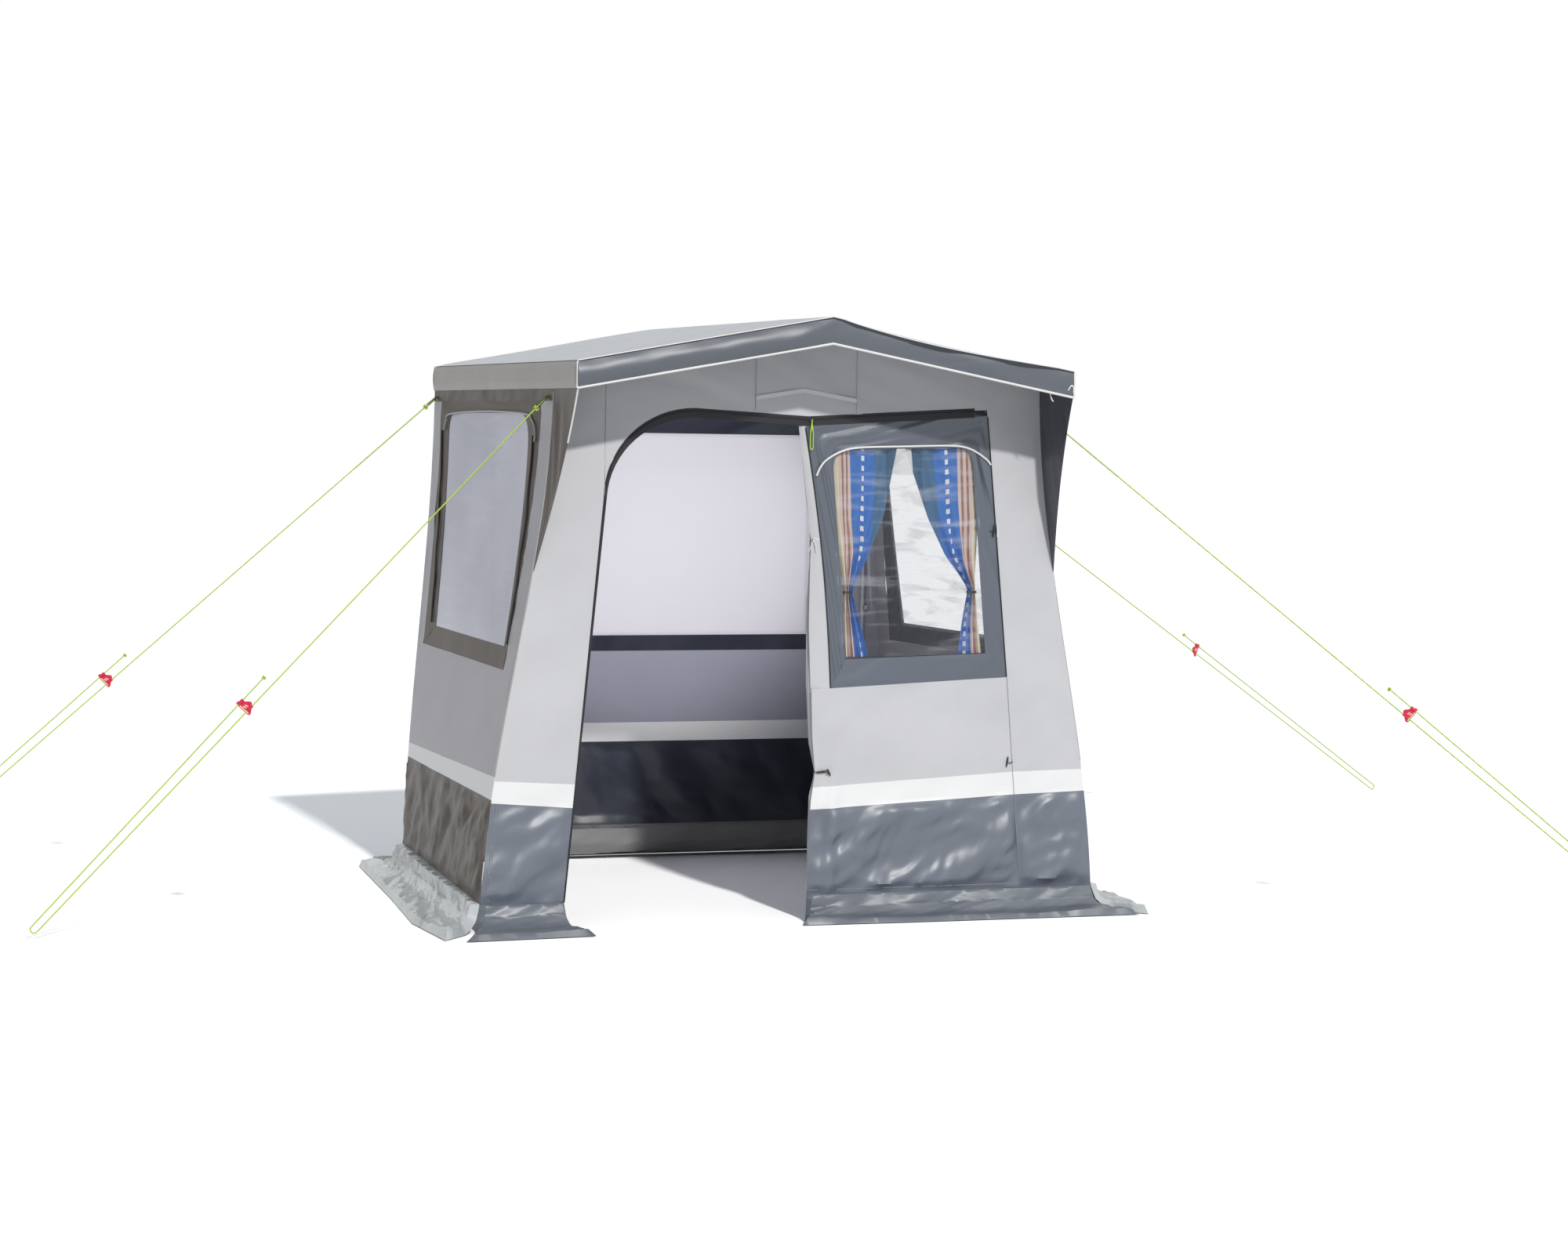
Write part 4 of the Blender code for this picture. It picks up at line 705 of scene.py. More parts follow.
# Back wall: navy foot, stripe, canvas to the sill, and the window opening
BACK_FOOT, BACK_HALF, BACK_SILL, BACK_HEAD = 0.14, 0.645, 0.803, 1.70
BACK_ROWS, BACK_COLUMNS = (22, 4, 14, 30, 3), (14, 70, 14)
grid = []
for z in levels([BACK_FOOT, 0.458, 0.53, BACK_SILL, BACK_HEAD, VALANCE_FOOT], BACK_ROWS):
    wide = half_width(DEPTH, z)
    grid.append([(x, FRONT_Y + DEPTH, z) for x in levels([-wide, -BACK_HALF, BACK_HALF, wide], BACK_COLUMNS)])
xs = levels([-EAVE_HALF, -BACK_HALF, BACK_HALF, EAVE_HALF], BACK_COLUMNS)
for share in (0.5, 1.0):
    grid.append([(x, FRONT_Y + DEPTH, mix(VALANCE_FOOT, roof_top(x) - ROOF_SEAM, share)) for x in xs])
cloth("back_wall_cloth", grid, (0, 1, 0), [pvc_navy, stripe, canvas_back_painted_shade],
      FOLDS + crumple(BACK_ROWS[0], 0.020), margin=0.04, paint=banded(*BACK_ROWS[:2]),
      hole=opening(BACK_ROWS[:4], BACK_COLUMNS[:2]), replaces=("back_wall",))

# Front wall: one panel goes round the doorway, from the left foot over the arch to the window,
# and two panels stand on the right of the rolled door. The stripe runs through them.
DOOR_FOOT, SPRING, ARCH = (-0.812, WALL_FOOT), (-0.69, 1.42), (0.31, 0.292)
ZIP_FROM, ZIP_END = (0.020, 1.691), (0.671, 1.731)


def door_side(z):
    """Point on the straight left side of the doorway."""
    share = (z - DOOR_FOOT[1]) / (SPRING[1] - DOOR_FOOT[1])
    return (mix(DOOR_FOOT[0], SPRING[0], share), z)


def on_arch(share):
    """Point on the doorway's arch, from its spring to its crown."""
    angle = math.pi * (1 - share / 2)
    return (SPRING[0] + ARCH[0] + ARCH[0] * math.cos(angle), SPRING[1] + ARCH[1] * math.sin(angle))


def gable(x):
    """Point on the seam between the front wall and the roof."""
    return (x, roof_top(x) - ROOF_SEAM)


def corner(z, side=1):
    """Point on the seam down a front corner of the tent."""
    return (side * half_width(0, z), z)


def on_front(x, z, depth=0.0):
    """Place on the front wall, or behind it by a depth."""
    return (x, FRONT_Y + depth, z)


# Stations of the panel round the doorway: inner point, outer point and the steps up to them
DOORWAY = [(door_side(WALL_FOOT), corner(WALL_FOOT, -1), 0),
           (door_side(0.399), corner(0.421, -1), FOOT_STEPS),
           (door_side(0.477), corner(0.493, -1), STRIPE_STEPS)]
DOORWAY += [(door_side(z), corner(z, -1), 4) for z in (0.7, 0.9, 1.1, 1.3)]
DOORWAY += [(door_side(SPRING[1]), corner(1.48, -1), 4), (on_arch(0.2), corner(1.66, -1), 4),
            (on_arch(0.4), corner(1.8, -1), 4), (on_arch(0.5), gable(-EAVE_HALF), 3),
            (on_arch(0.62), gable(-0.72), 3), (on_arch(0.8), gable(-0.56), 4),
            (on_arch(1.0), gable(-0.38), 4), ((-0.17, 1.708), gable(-0.17), 6),
            (ZIP_FROM, gable(0.0), 5), ((0.19, 1.7016), gable(0.19), 5), (ZIP_END, gable(0.655), 12)]
inners, outers, steps = zip(*DOORWAY)
grid = [[on_front(*mix(inner, outer, j / 20)) for j in range(21)]
        for inner, outer in zip(levels(np.array(inners), steps[1:]), levels(np.array(outers), steps[1:]))]
cloth("front_wall_left_cloth", grid, (0, -1, 0), [pvc_left, stripe, canvas],
      [(0.14, 0.6, 80, 0.005, False), (0.06, 0.3, 70, 0.002, False)] + crumple(FOOT_STEPS, 0.016),
      margin=0.03, paint=banded(), replaces=("front_wall_left", "front_wall_header"))

# Window panel's outline on the right, from its left foot round, and the seams that run into it
FRAME = [(0.112, 0.784), (0.7617, 0.8155), (0.6704, 1.7105), (0.008, 1.669)]
SILL_LEFT, SILL_RIGHT, SEAM_FOOT, SEAM_TOP = (0.112, 0.783), (0.762, 0.815), 0.826, 1.711
RIGHT_FOLDS = [(0.16, 0.9, 84, 0.007, False), (0.08, 0.4, -55, 0.004, False)] + crumple(FOOT_STEPS, 0.027, -1)
FOLD_HEIGHTS, FOLD_EDGE = (0.09, 0.40, 0.50, 0.62, SILL_LEFT[1]), (0.040, 0.050, 0.064, 0.052, 0.046)
PLEAT, PLEAT_AT, PLEAT_WIDTH, PLEAT_TOP = 0.014, 0.075, 0.024, 0.7


def seam_x(z):
    """Seam on the right, from the foot past the window panel to the roof."""
    if z < SILL_RIGHT[1]:
        return mix(SEAM_FOOT, SILL_RIGHT[0], (z - WALL_FOOT) / (SILL_RIGHT[1] - WALL_FOOT))
    return mix(SILL_RIGHT[0], ZIP_END[0], (z - SILL_RIGHT[1]) / (SEAM_TOP - SILL_RIGHT[1]))


def by_the_roll(share, z):
    """Place on the panel right of the rolled door, with the upright pleat where its slack gathers."""
    fold = np.interp(z, FOLD_HEIGHTS, FOLD_EDGE)
    x = mix(fold, seam_x(z), share)
    fade = min(1.0, max(0.0, (PLEAT_TOP - z) / 0.4))
    return on_front(x, z, -PLEAT * math.exp(-((x - fold - PLEAT_AT) / PLEAT_WIDTH) ** 2) * fade)


def by_the_corner(share, z):
    """Place on the narrow panel between the seam and the right corner."""
    return on_front(mix(seam_x(z), corner(z)[0], share), z)


# Both panels are cut along sloping seams, given by their heights at the left and the right edge
for name, replaced, place, columns, steps, seams in (
        ("front_wall_right_cloth", ("front_wall_right",), by_the_roll, 64, (FOOT_STEPS, STRIPE_STEPS, 18),
         [(WALL_FOOT, WALL_FOOT), (0.374, 0.409), (0.449, 0.488), (SILL_LEFT[1], SILL_RIGHT[1])]),
        ("front_corner_cloth", (), by_the_corner, 20, (FOOT_STEPS, STRIPE_STEPS, 18, 26, 5),
         [(WALL_FOOT, WALL_FOOT), (0.409, 0.417), (0.488, 0.493), (SILL_RIGHT[1], 0.82), (1.731, 1.74),
          (gable(0.655)[1], gable(EAVE_HALF)[1])])):
    grid = [[place(j / columns, mix(left, right, j / columns)) for j in range(columns + 1)]
            for left, right in levels(np.array(seams), steps)]
    cloth(name, grid, (0, -1, 0), [pvc_right, stripe, canvas], RIGHT_FOLDS, margin=0.03, paint=banded(),
          replaces=replaced)


def frame_left(z):
    """The window panel's left edge at a height, and how far its zip draws it in there."""
    (foot_x, foot_z), (top_x, top_z) = FRAME[0], FRAME[3]
    share = (z - foot_z) / (top_z - foot_z)
    return mix(foot_x, top_x, share), 0.016 * math.sin(math.pi * min(1.0, max(0.0, share)))


# Edge of the canvas beside the rolled door, from the sill to the header
EDGE_HEIGHTS, CANVAS_EDGE = (SILL_LEFT[1], 1.0, 1.287, 1.55, 1.666), (0.046, 0.036, 0.038, 0.004, -0.012)
grid = []
for z in np.linspace(EDGE_HEIGHTS[0], EDGE_HEIGHTS[-1], 31):
    left = np.interp(z, EDGE_HEIGHTS, CANVAS_EDGE)
    right = sum(frame_left(z))
    grid.append([on_front(mix(left, right, share), z, 0.009 * (1 - share) ** 2)
                 for share in np.linspace(0, 1, 9)])
cloth("door_edge_cloth", grid, (0, -1, 0), [canvas], [(0.02, 0.3, 88, 0.0018, False)], margin=0.008)

# Storm wings: PVC triangles that close the front corners under the overhanging roof. Each is sewn
# to the corner seam and to the valance, and its free edge runs down to the wall.
# The left wing's warm brown, beside the right wing's slate: painted warm shade on the left side.
wing_brown = cloth_finish("wing_brown", (84, 75, 68), 0.4, gloss=0.2, crease=0.7, size=5.0, sharp=0.15,
                          depth=0.03, turn=0.1)
wing_slate = cloth_finish("wing_slate", (76, 76, 86), 0.38, crease=0.7, size=5.0, sharp=0.15, depth=0.03,
                          turn=0.1)
WING_FOOT, WING_HEM = 1.18, 0.004


def wing_reach(z):
    """How far a wing stands out in front of the wall at a height."""
    return WING_HEM + (OVERHANG - WING_HEM) * min(1, (z - WING_FOOT) / (VALANCE_FOOT - WING_FOOT))


for name, side, paint in (("left", -1, wing_brown), ("right", 1, wing_slate)):
    grid = [[(side * (half_width(0, z) + 0.0002), FRONT_Y - 0.0003 - wing_reach(z) * i / 11, z)
             for i in range(12)] for z in levels([WING_FOOT, VALANCE_FOOT, WALL_TOP], (24, 5))]
    cloth(f"storm_wing_{name}_cloth", grid, (side, 0, 0), [paint], [(0.05, 0.5, 12, 0.009, False)],
          margin=0.03, calm=CALM_FROM, replaces=(f"storm_wing_{name}",), slot="brown_pvc")

# Windows: clear plastic film sewn behind a PVC surround, one in each side wall, one in the back wall
# and one in the panel on the right of the door. The film's upper corners are rounded.
def foil_finish(name, colour, alpha, streak, roughness=0.08, ripple=0.25, uneven=12):
    """Clear plastic film with a soft reflection, a painted sheen of broad light and dark patches, and
    drawn-out whiter streaks that are scratches and painted glints on its crinkles.
    """
    made, tree, shader = finish(name, colour, roughness)
    uv = add(tree, "ShaderNodeUVMap", uv_map="cloth")
    drawn = add(tree, "ShaderNodeMapping", {"Vector": uv.outputs[0], "Rotation": (0, 0, 0.9),
                                            "Scale": (1.2, 9.0, 1.0)})
    # Painted sheen: broad patches that make the film's colour lighter and darker.
    broad = add(tree, "ShaderNodeTexNoise", {"Vector": uv.outputs[0], "Scale": 1.6, "Detail": 1.0})
    sheen = add(tree, "ShaderNodeMapRange", {0: broad.outputs["Fac"], 1: 0.35, 2: 0.65, 3: 0.0, 4: 1.0})
    light = tuple(min(255, level + uneven) for level in colour)
    dark = tuple(level - uneven for level in colour)
    tree.links.new(shaded(tree, sheen.outputs[0], dark, light), shader.inputs["Base Color"])
    # Streaks where the film is denser and whiter: scratches, and painted glints on its crinkles.
    streaks = add(tree, "ShaderNodeTexNoise", {"Vector": drawn.outputs[0], "Scale": 2.2, "Detail": 4.0,
                                               "Distortion": 0.6})
    mist = add(tree, "ShaderNodeMapRange", {0: streaks.outputs["Fac"], 1: 0.5, 2: 0.78, 3: alpha,
                                            4: min(1.0, alpha + streak)})
    # The film shades what lies far from it, and hardly what hangs just behind it
    rays = add(tree, "ShaderNodeLightPath")
    far = add(tree, "ShaderNodeMath", {0: rays.outputs["Ray Length"], 1: 0.3}, operation="GREATER_THAN")
    dulled = add(tree, "ShaderNodeMath", {0: far.outputs[0], 1: 0.75, 2: 0.12}, operation="MULTIPLY_ADD")
    veil = add(tree, "ShaderNodeMix", {0: rays.outputs["Is Shadow Ray"], 2: mist.outputs[0],
                                       3: dulled.outputs[0]}, data_type="FLOAT")
    tree.links.new(veil.outputs[0], shader.inputs["Alpha"])
    tree.links.new(relief(tree, streaks.outputs["Fac"], ripple, 0.004), shader.inputs["Normal"])
    return made


def surround(name, hole, foil, steps, place, outward, finish, layers, radius=(0, 0, 0, 0), rows=5, **given):
    """Closed ring of cloth from the edge of the opening to the edge of the foil."""
    edges = zip(outline(hole, steps), outline(foil, steps, radius))
    grid = np.array([[place(*mix(a, b, share)) for share in np.linspace(0, 1, rows)] for a, b in edges])
    grid = np.concatenate([grid, grid[:1]]).transpose(1, 0, 2)
    cloth(name, grid, outward, [finish], layers, closed=True, margin=0.012, **given)


def toward(start, end, distance):
    """Point at a distance from the start on the way to the end."""
    return start + (end - start) / np.linalg.norm(end - start) * distance


def outline(corners, steps, radius=(0, 0, 0, 0)):
    """Points round a four-cornered outline, with the given corners rounded."""
    corners = np.array(corners, float)
    made = []
    for i, corner in enumerate(corners):
        before, after = corners[i - 1], corners[(i + 1) % 4]
        start, end = toward(corner, before, radius[i]), toward(corner, after, radius[i])
        for t in np.linspace(0, 1, 9):
            made.append(start * (1 - t) ** 2 + corner * 2 * t * (1 - t) + end * t ** 2)
        next_start = toward(after, corner, radius[(i + 1) % 4])
        made += [mix(end, next_start, (k + 1) / (steps[i] + 1)) for k in range(steps[i])]
    return made


def film(name, corners, columns, rows, place, outward, finish, layers, margin=0.08, **given):
    """Foil sheet that runs on behind its surround on all four sides."""
    corners = np.array(corners)
    middle = np.mean(corners, axis=0)
    a, b, c, d = [toward(corner, middle, -FOIL_LAP) for corner in corners]
    grid = [[place(*mix(mix(a, b, i / columns), mix(d, c, i / columns), j / rows), FOIL_SET_BACK)
             for i in range(columns + 1)] for j in range(rows + 1)]
    cloth(name, grid, outward, [finish], layers, margin=margin, slot="clear_foil", thickness=0.0005, **given)


def box(left, right, foot, top):
    """Corners of an upright opening, from its left foot round."""
    return [(left, foot), (right, foot), (right, top), (left, top)]


def on_side(y, z, depth=0.0):
    """Place on the side wall that the loop below is at."""
    return (side * (half_width(y, z) - depth), FRONT_Y + y, z)


def on_back(x, z, depth=0.0):
    """Place on the back wall."""
    return (x, FRONT_Y + DEPTH - depth, z)


def on_frame(x, z):
    """Place on the front window's panel, whose left edge is drawn in by its zip."""
    left, drawn_in = frame_left(z)
    return on_front(x + drawn_in * max(0.0, 1 - (x - left) / 0.056), z)


foil_side = foil_finish("foil_side", (192, 193, 214), 0.82, 0.1, 0.2, 0.1)
foil_right = foil_finish("foil_right", (225, 226, 230), 0.22, 0.25, 0.2, 0.1)
foil_back = foil_finish("foil_back", (228, 225, 233), 0.75, 0.0, 0.35, 0.0, 0)
foil_front = foil_finish("foil_front", (225, 228, 235), 0.03, 0.22, 0.05)
FOIL_LAP, FOIL_SET_BACK = 0.02, 0.0016
SIDE_FOIL = {"left": [(0.205, 0.92), (1.31, 0.92), (1.38, 1.695), (0.29, 1.695)],
             "right": [(0.17, 0.92), (1.345, 0.92), (1.435, 1.695), (0.235, 1.695)]}
for name, side, hem, foil in (("left", -1, brown_hem_painted_shade, foil_side), ("right", 1, pvc_navy, foil_right)):
    surround(f"{name}_window_surround", box(*OPENING_Y, *OPENING_Z), SIDE_FOIL[name], (20, 14, 20, 14),
             on_side, (side, 0, 0), hem, [(0.06, 0.2, 40, 0.003, False)], (0, 0, 0.09, 0.12),
             replaces=(f"{name}_window",), slot="brown_pvc")
    film(f"{name}_window_foil", SIDE_FOIL[name], 30, 20, on_side, (side, 0, 0), foil,
         [(0.5, 0.6, 40, 0.006, False), (0.1, 0.5, 55, 0.0015, False)])
BACK_FOIL = box(-0.61, 0.61, 0.873, 1.62)
surround("back_window_surround", box(-BACK_HALF, BACK_HALF, BACK_SILL, BACK_HEAD), BACK_FOIL,
         (20, 14, 20, 14), on_back, (0, 1, 0), pvc_navy, [(0.06, 0.2, 40, 0.002, False)], (0, 0, 0.06, 0.06),
         replaces=("back_window",), slot="dark_pvc")
film("back_window_foil", BACK_FOIL, 30, 20, on_back, (0, 1, 0), foil_back, [(0.5, 0.6, 40, 0.006, False)])
FRONT_FOIL = [(0.170, 0.884), (0.680, 0.899), (0.615, 1.600), (0.106, 1.590)]
surround("front_window_surround", FRAME, FRONT_FOIL, (20, 24, 20, 24), on_frame, (0, -1, 0), pvc_frame_painted_shade,
         [(0.12, 0.3, 30, 0.006, False)], (0, 0, 0.055, 0.075), rows=8,
         replaces=("front_window_frame",), slot="dark_pvc")
film("front_window_foil_cloth", FRONT_FOIL, 20, 28, on_front, (0, -1, 0), foil_front,
     [(0.4, 0.6, 40, 0.004, False), (0.08, 0.4, 50, 0.001, False)], margin=0.06,
     replaces=("front_window_foil",))

# Skirts: PVC strips sewn along the walls' feet, spread outwards on the ground in loose folds. They
# are grey behind the back wall and slate in front; beside the side walls they are pale silver, in part
# a painted sheen of their gloss.
skirt_slate = pvc_finish("skirt_slate", (104, 110, 120), size=7.0, depth=0.04, gloss=0.8)
# Pale silver of the side skirts: glossy PVC whose colour is raised in part as painted sheen.
skirt_silver = pvc_finish("skirt_silver", (196, 202, 203), 0.3, size=9.0, sharp=0.5, depth=0.05, gloss=1.0)
skirt_ash = pvc_finish("skirt_ash", (150, 149, 151), 0.4, crease=0.8, size=8.0, sharp=0.4, depth=0.02)
SKIRT_STEP, SKIRT_LIFT, SEAM_GAP = 0.012, 0.0014, 0.0003


def skirt_cloth(replaced, feet, seam, outward, finish, folds=1.0):
    """Skirt along stations (base point, outward vector), falling to the ground and lying on it."""
    grid = []
    for before, after in zip(feet, feet[1:]):
        steps = max(4, int(np.linalg.norm(np.array(after[0]) - np.array(before[0])) / SKIRT_STEP))
        last = after is feet[-1]
        for i in range(steps + last):
            base, lean = mix(before, after, i / steps)
            line = []
            for t in np.linspace(0, 1, 25):
                out = np.interp(t, (0, 0.25, 0.45, 0.7, 1), (0.0, 0.10, 0.28, 0.55, 1.0))
                z = (seam - SEAM_GAP) * max(0.0, 1 - t / 0.62) ** 1.7 + SKIRT_LIFT
                line.append((base[0] + lean[0] * out, FRONT_Y + base[1] + lean[1] * out, z))
            grid.append(line)
    layers = [(0.05, 0.4, 12, 0.012, False), (0.03, 0.22, 25, 0.007 * folds, True),
              (0.16, 0.2, 60, 0.012, False), (0.018, 0.09, -20, 0.0025 * folds, True)]
    cloth(f"{replaced}_cloth", grid, outward, [finish], layers, margin=0.012, lift=True, held="draped",
          replaces=(replaced,), slot="dark_pvc")


# Side skirts by their distance from the front wall, and how far they lie out and ahead there
SIDE_SKIRT = ((OUT, 0.155, -0.162), (0.25, 0.19, -0.02), (0.8, 0.17, 0.0), (DEPTH - OUT, 0.15, 0.08))
for name, side in (("left", -1), ("right", 1)):
    feet = [((side * half_width(y, WALL_FOOT), y), (side * out, ahead)) for y, out, ahead in SIDE_SKIRT]
    skirt_cloth(f"skirt_{name}", feet, WALL_FOOT, (side, 0, 1), skirt_silver, 2.0)
front_x, back_x = [half_width(y, z) - 0.004 for y, z in ((0, WALL_FOOT), (DEPTH, BACK_FOOT))]
skirt_cloth("skirt_front_left", [((-front_x, 0), (-0.10, -0.20)), ((-0.95, 0), (0, -0.19)),
                                 ((DOOR_FOOT[0], 0), (0.06, -0.18))], WALL_FOOT, (0, -1, 1), skirt_slate)
skirt_cloth("skirt_front_right", [((0.04, 0), (-0.055, -0.12)), ((0.35, 0), (-0.01, -0.14)),
                                  ((0.75, 0), (0.03, -0.15)), ((front_x, 0), (0.12, -0.16))], WALL_FOOT,
            (0, -1, 1), skirt_slate)
skirt_cloth("skirt_back", [((-back_x, DEPTH), (-0.10, 0.17)), ((0, DEPTH), (0, 0.19)),
                           ((back_x, DEPTH), (0.10, 0.17))], BACK_FOOT, (0, 1, 1), skirt_ash)

# Curtains: printed cotton with a woven look in blue, teal and beige, gathered by ties inside the
# front window. The print is a plain one of stripes and stitched dashes.
FLAT_WIDTH = 0.27


def curtain_finish():
    """Printed cotton: upright stripes by the curtain's flat width, and a lane of stitched dashes."""
    made, tree, shader = finish("curtain_print", (130, 150, 175), 0.8)
    uv = add(tree, "ShaderNodeUVMap", uv_map="cloth")
    split = add(tree, "ShaderNodeSeparateXYZ", {0: uv.outputs[0]})
    across = add(tree, "ShaderNodeMath", {0: split.outputs[0], 1: 1 / FLAT_WIDTH}, operation="MULTIPLY")
    bands = add(tree, "ShaderNodeValToRGB", {0: across.outputs[0]})
    ramp = bands.color_ramp
    ramp.interpolation = "CONSTANT"
    stops = ((0.0, (226, 212, 184)), (0.10, (208, 184, 174)), (0.14, (146, 106, 98)), (0.17, (214, 190, 180)),
             (0.21, (150, 112, 104)), (0.24, (214, 190, 180)), (0.28, (44, 110, 190)), (0.62, (60, 104, 142)),
             (0.80, (44, 84, 118)), (0.95, (214, 216, 214)))
    while len(ramp.elements) < len(stops):
        ramp.elements.new(0.5)
    for element, (at, shade) in zip(ramp.elements, stops):
        element.position = at
        element.color = (*smooth_colour(*shade), 1)
    along = add(tree, "ShaderNodeMath", {0: split.outputs[1], 1: 30.0}, operation="MULTIPLY")
    turn = add(tree, "ShaderNodeMath", {0: along.outputs[0]}, operation="FRACT")
    dash = add(tree, "ShaderNodeMath", {0: turn.outputs[0], 1: 0.5}, operation="LESS_THAN")
    lane = add(tree, "ShaderNodeMath", {0: across.outputs[0], 1: 0.45, 2: 0.024}, operation="COMPARE")
    both = add(tree, "ShaderNodeMath", {0: dash.outputs[0], 1: lane.outputs[0]}, operation="MULTIPLY")
    stitched = add(tree, "ShaderNodeMix", {0: both.outputs[0], 6: bands.outputs[0], 7: (0.80, 0.81, 0.81, 1)},
                   data_type="RGBA")
    tree.links.new(stitched.outputs[2], shader.inputs["Base Color"])
    thread = add(tree, "ShaderNodeGroup", {"Vector": uv.outputs[0], "Threads": 220.0}, node_tree=weave)
    tree.links.new(relief(tree, thread.outputs["Height"], 0.3, 0.0004), shader.inputs["Normal"])
    return made


print_cloth = curtain_finish()
webbing = grained("black_webbing", (40, 40, 44), (24, 24, 27), 0.7, 0.0, 300.0, 0.0004)
CURTAIN_FOOT, TIE_HEIGHT, CURTAIN_HEAD, CURTAIN_SET_BACK = 0.89, 1.108, 1.60, 0.0145
# Each curtain by height, its edge at the window's side and its edge towards the window's middle
CURTAINS = {
    "left": ((CURTAIN_FOOT, 0.160, 0.253), (1.00, 0.158, 0.222), (1.088, 0.160, 0.194),
             (TIE_HEIGHT, 0.163, 0.189), (1.128, 0.160, 0.194), (1.233, 0.138, 0.245),
             (1.36, 0.116, 0.298), (CURTAIN_HEAD, 0.104, 0.345)),
    "right": ((CURTAIN_FOOT, 0.676, 0.582), (1.00, 0.660, 0.594), (1.088, 0.648, 0.612),
              (TIE_HEIGHT, 0.643, 0.617), (1.128, 0.644, 0.612), (1.233, 0.648, 0.528),
              (1.36, 0.652, 0.462), (CURTAIN_HEAD, 0.640, 0.372)),
}


def oval(left, right, middle, deep, z, steps):
    """Closed level loop, given by its left and right ends, its middle's depth and half its own depth."""
    angles = [2 * math.pi * i / steps for i in range(steps + 1)]
    return [((left + right) / 2 + (right - left) / 2 * math.cos(angle), middle + deep * math.sin(angle), z)
            for angle in angles]


for name, stations in CURTAINS.items():
    heights, outers, inners = zip(*stations)
    grid = []
    for z in np.linspace(CURTAIN_FOOT, CURTAIN_HEAD, 50):
        outer, inner = np.interp(z, heights, outers), np.interp(z, heights, inners)
        deep = 0.0118 - 0.006 * min(1.0, abs(inner - outer) / 0.2)
        line = []
        for share in np.linspace(0, 1, 101):
            drift = 0.10 * math.sin(3.1 * share + 2.3 * z) + 0.07 * math.sin(7 * share - 3 * z)
            wave = math.cos(2 * math.pi * (3.5 * share + drift))
            line.append(on_front(mix(outer, inner, share), z, CURTAIN_SET_BACK + deep * wave))
        grid.append(line)
    cloth(f"curtain_{name}_cloth", grid, (0, -1, 0), [print_cloth], [(0.05, 0.25, 80, 0.0015, False)],
          margin=0.01, held="gathered", replaces=(f"curtain_{name}",), slot="curtain_cloth", thickness=0.0007)
    edges = sorted(stations[heights.index(TIE_HEIGHT)][1:])
    tie = oval(edges[0] - 0.001, edges[1] + 0.001, FRONT_Y + CURTAIN_SET_BACK, 0.0095, TIE_HEIGHT, 24)
    piping(f"curtain_tie_{name}", tie, 0.0045, moulded)

# Door zip: black tape sewn along the doorway's edge, up its left side, over the arch and on under
# the roof, with its teeth as a thin bead. It widens where the header hangs over it.
ZIP_STOP = (0.623, 1.728)
edge_path = [door_side(z) for z in levels([WALL_FOOT, SPRING[1]], (40,))]
edge_path += [on_arch(i / 16) for i in range(1, 17)]
edge_path += [tuple(mix(on_arch(1), ZIP_FROM, i / 10)) for i in range(1, 11)]
edge_path += [tuple(mix(ZIP_FROM, ZIP_STOP, i / 12)) for i in range(1, 13)]
grid = []
for i, (x, z) in enumerate(edge_path):
    ahead, behind = edge_path[min(i + 1, len(edge_path) - 1)], edge_path[max(i - 1, 0)]
    along = Vector((ahead[0] - behind[0], 0, ahead[1] - behind[1])).normalized()
    down = Vector((along.z, 0, -along.x))
    wide = 0.004 + 0.004 * min(1, i / 40) + 0.016 * min(1, max(0, (i - 40) / 12))
    grid.append([tuple(Vector(on_front(x, z, -0.0006)) + down * wide * k / 3) for k in range(-1, 4)])
cloth("door_zip_tape", grid, (0, -1, 0), [webbing], margin=0.01, replaces=("door_zip",), slot="black_webbing",
      thickness=0.0012)
piping("door_zip_teeth", [on_front(x + 0.001, z - 0.003, -0.0022) for x, z in edge_path], 0.0016, webbing)

# Rolled door: the door's canvas wound loosely into an upright roll at the right of the doorway. Two
# cord ties draw it in, and it hangs wider between them.
ROLL_FOOT, LOWER_TIE, UPPER_TIE, ROLL_HEAD = 0.030, 0.50, 1.287, 1.655
# Height, left edge, right edge and depth of the roll
ROLL = (
    (ROLL_FOOT, 0.052, 0.120, 0.046), (0.25, 0.048, 0.122, 0.050), (0.42, 0.050, 0.118, 0.042),
    (0.47, 0.062, 0.110, 0.032), (LOWER_TIE, 0.067, 0.105, 0.026), (0.53, 0.061, 0.112, 0.032),
    (0.60, 0.047, 0.128, 0.046), (0.80, 0.036, 0.132, 0.052), (1.00, 0.033, 0.122, 0.050),
    (1.18, 0.038, 0.102, 0.044), (1.257, 0.042, 0.088, 0.032), (UPPER_TIE, 0.044, 0.082, 0.026),
    (1.317, 0.038, 0.085, 0.032), (1.42, 0.024, 0.080, 0.040), (1.55, 0.008, 0.064, 0.038),
    (ROLL_HEAD, -0.004, 0.050, 0.034),
)
ROLL_FRONT, TURNS, TIE_GAP = 0.0038, 2.6, 0.002
door_canvas = cloth_finish("door_canvas", (208, 209, 214), 0.5, crease=0.2, size=8.0, amount=0.5)


def roll_at(z):
    """Left edge, right edge and depth of the roll at a height."""
    heights, *measures = zip(*ROLL)
    return [float(np.interp(z, heights, measure)) for measure in measures]


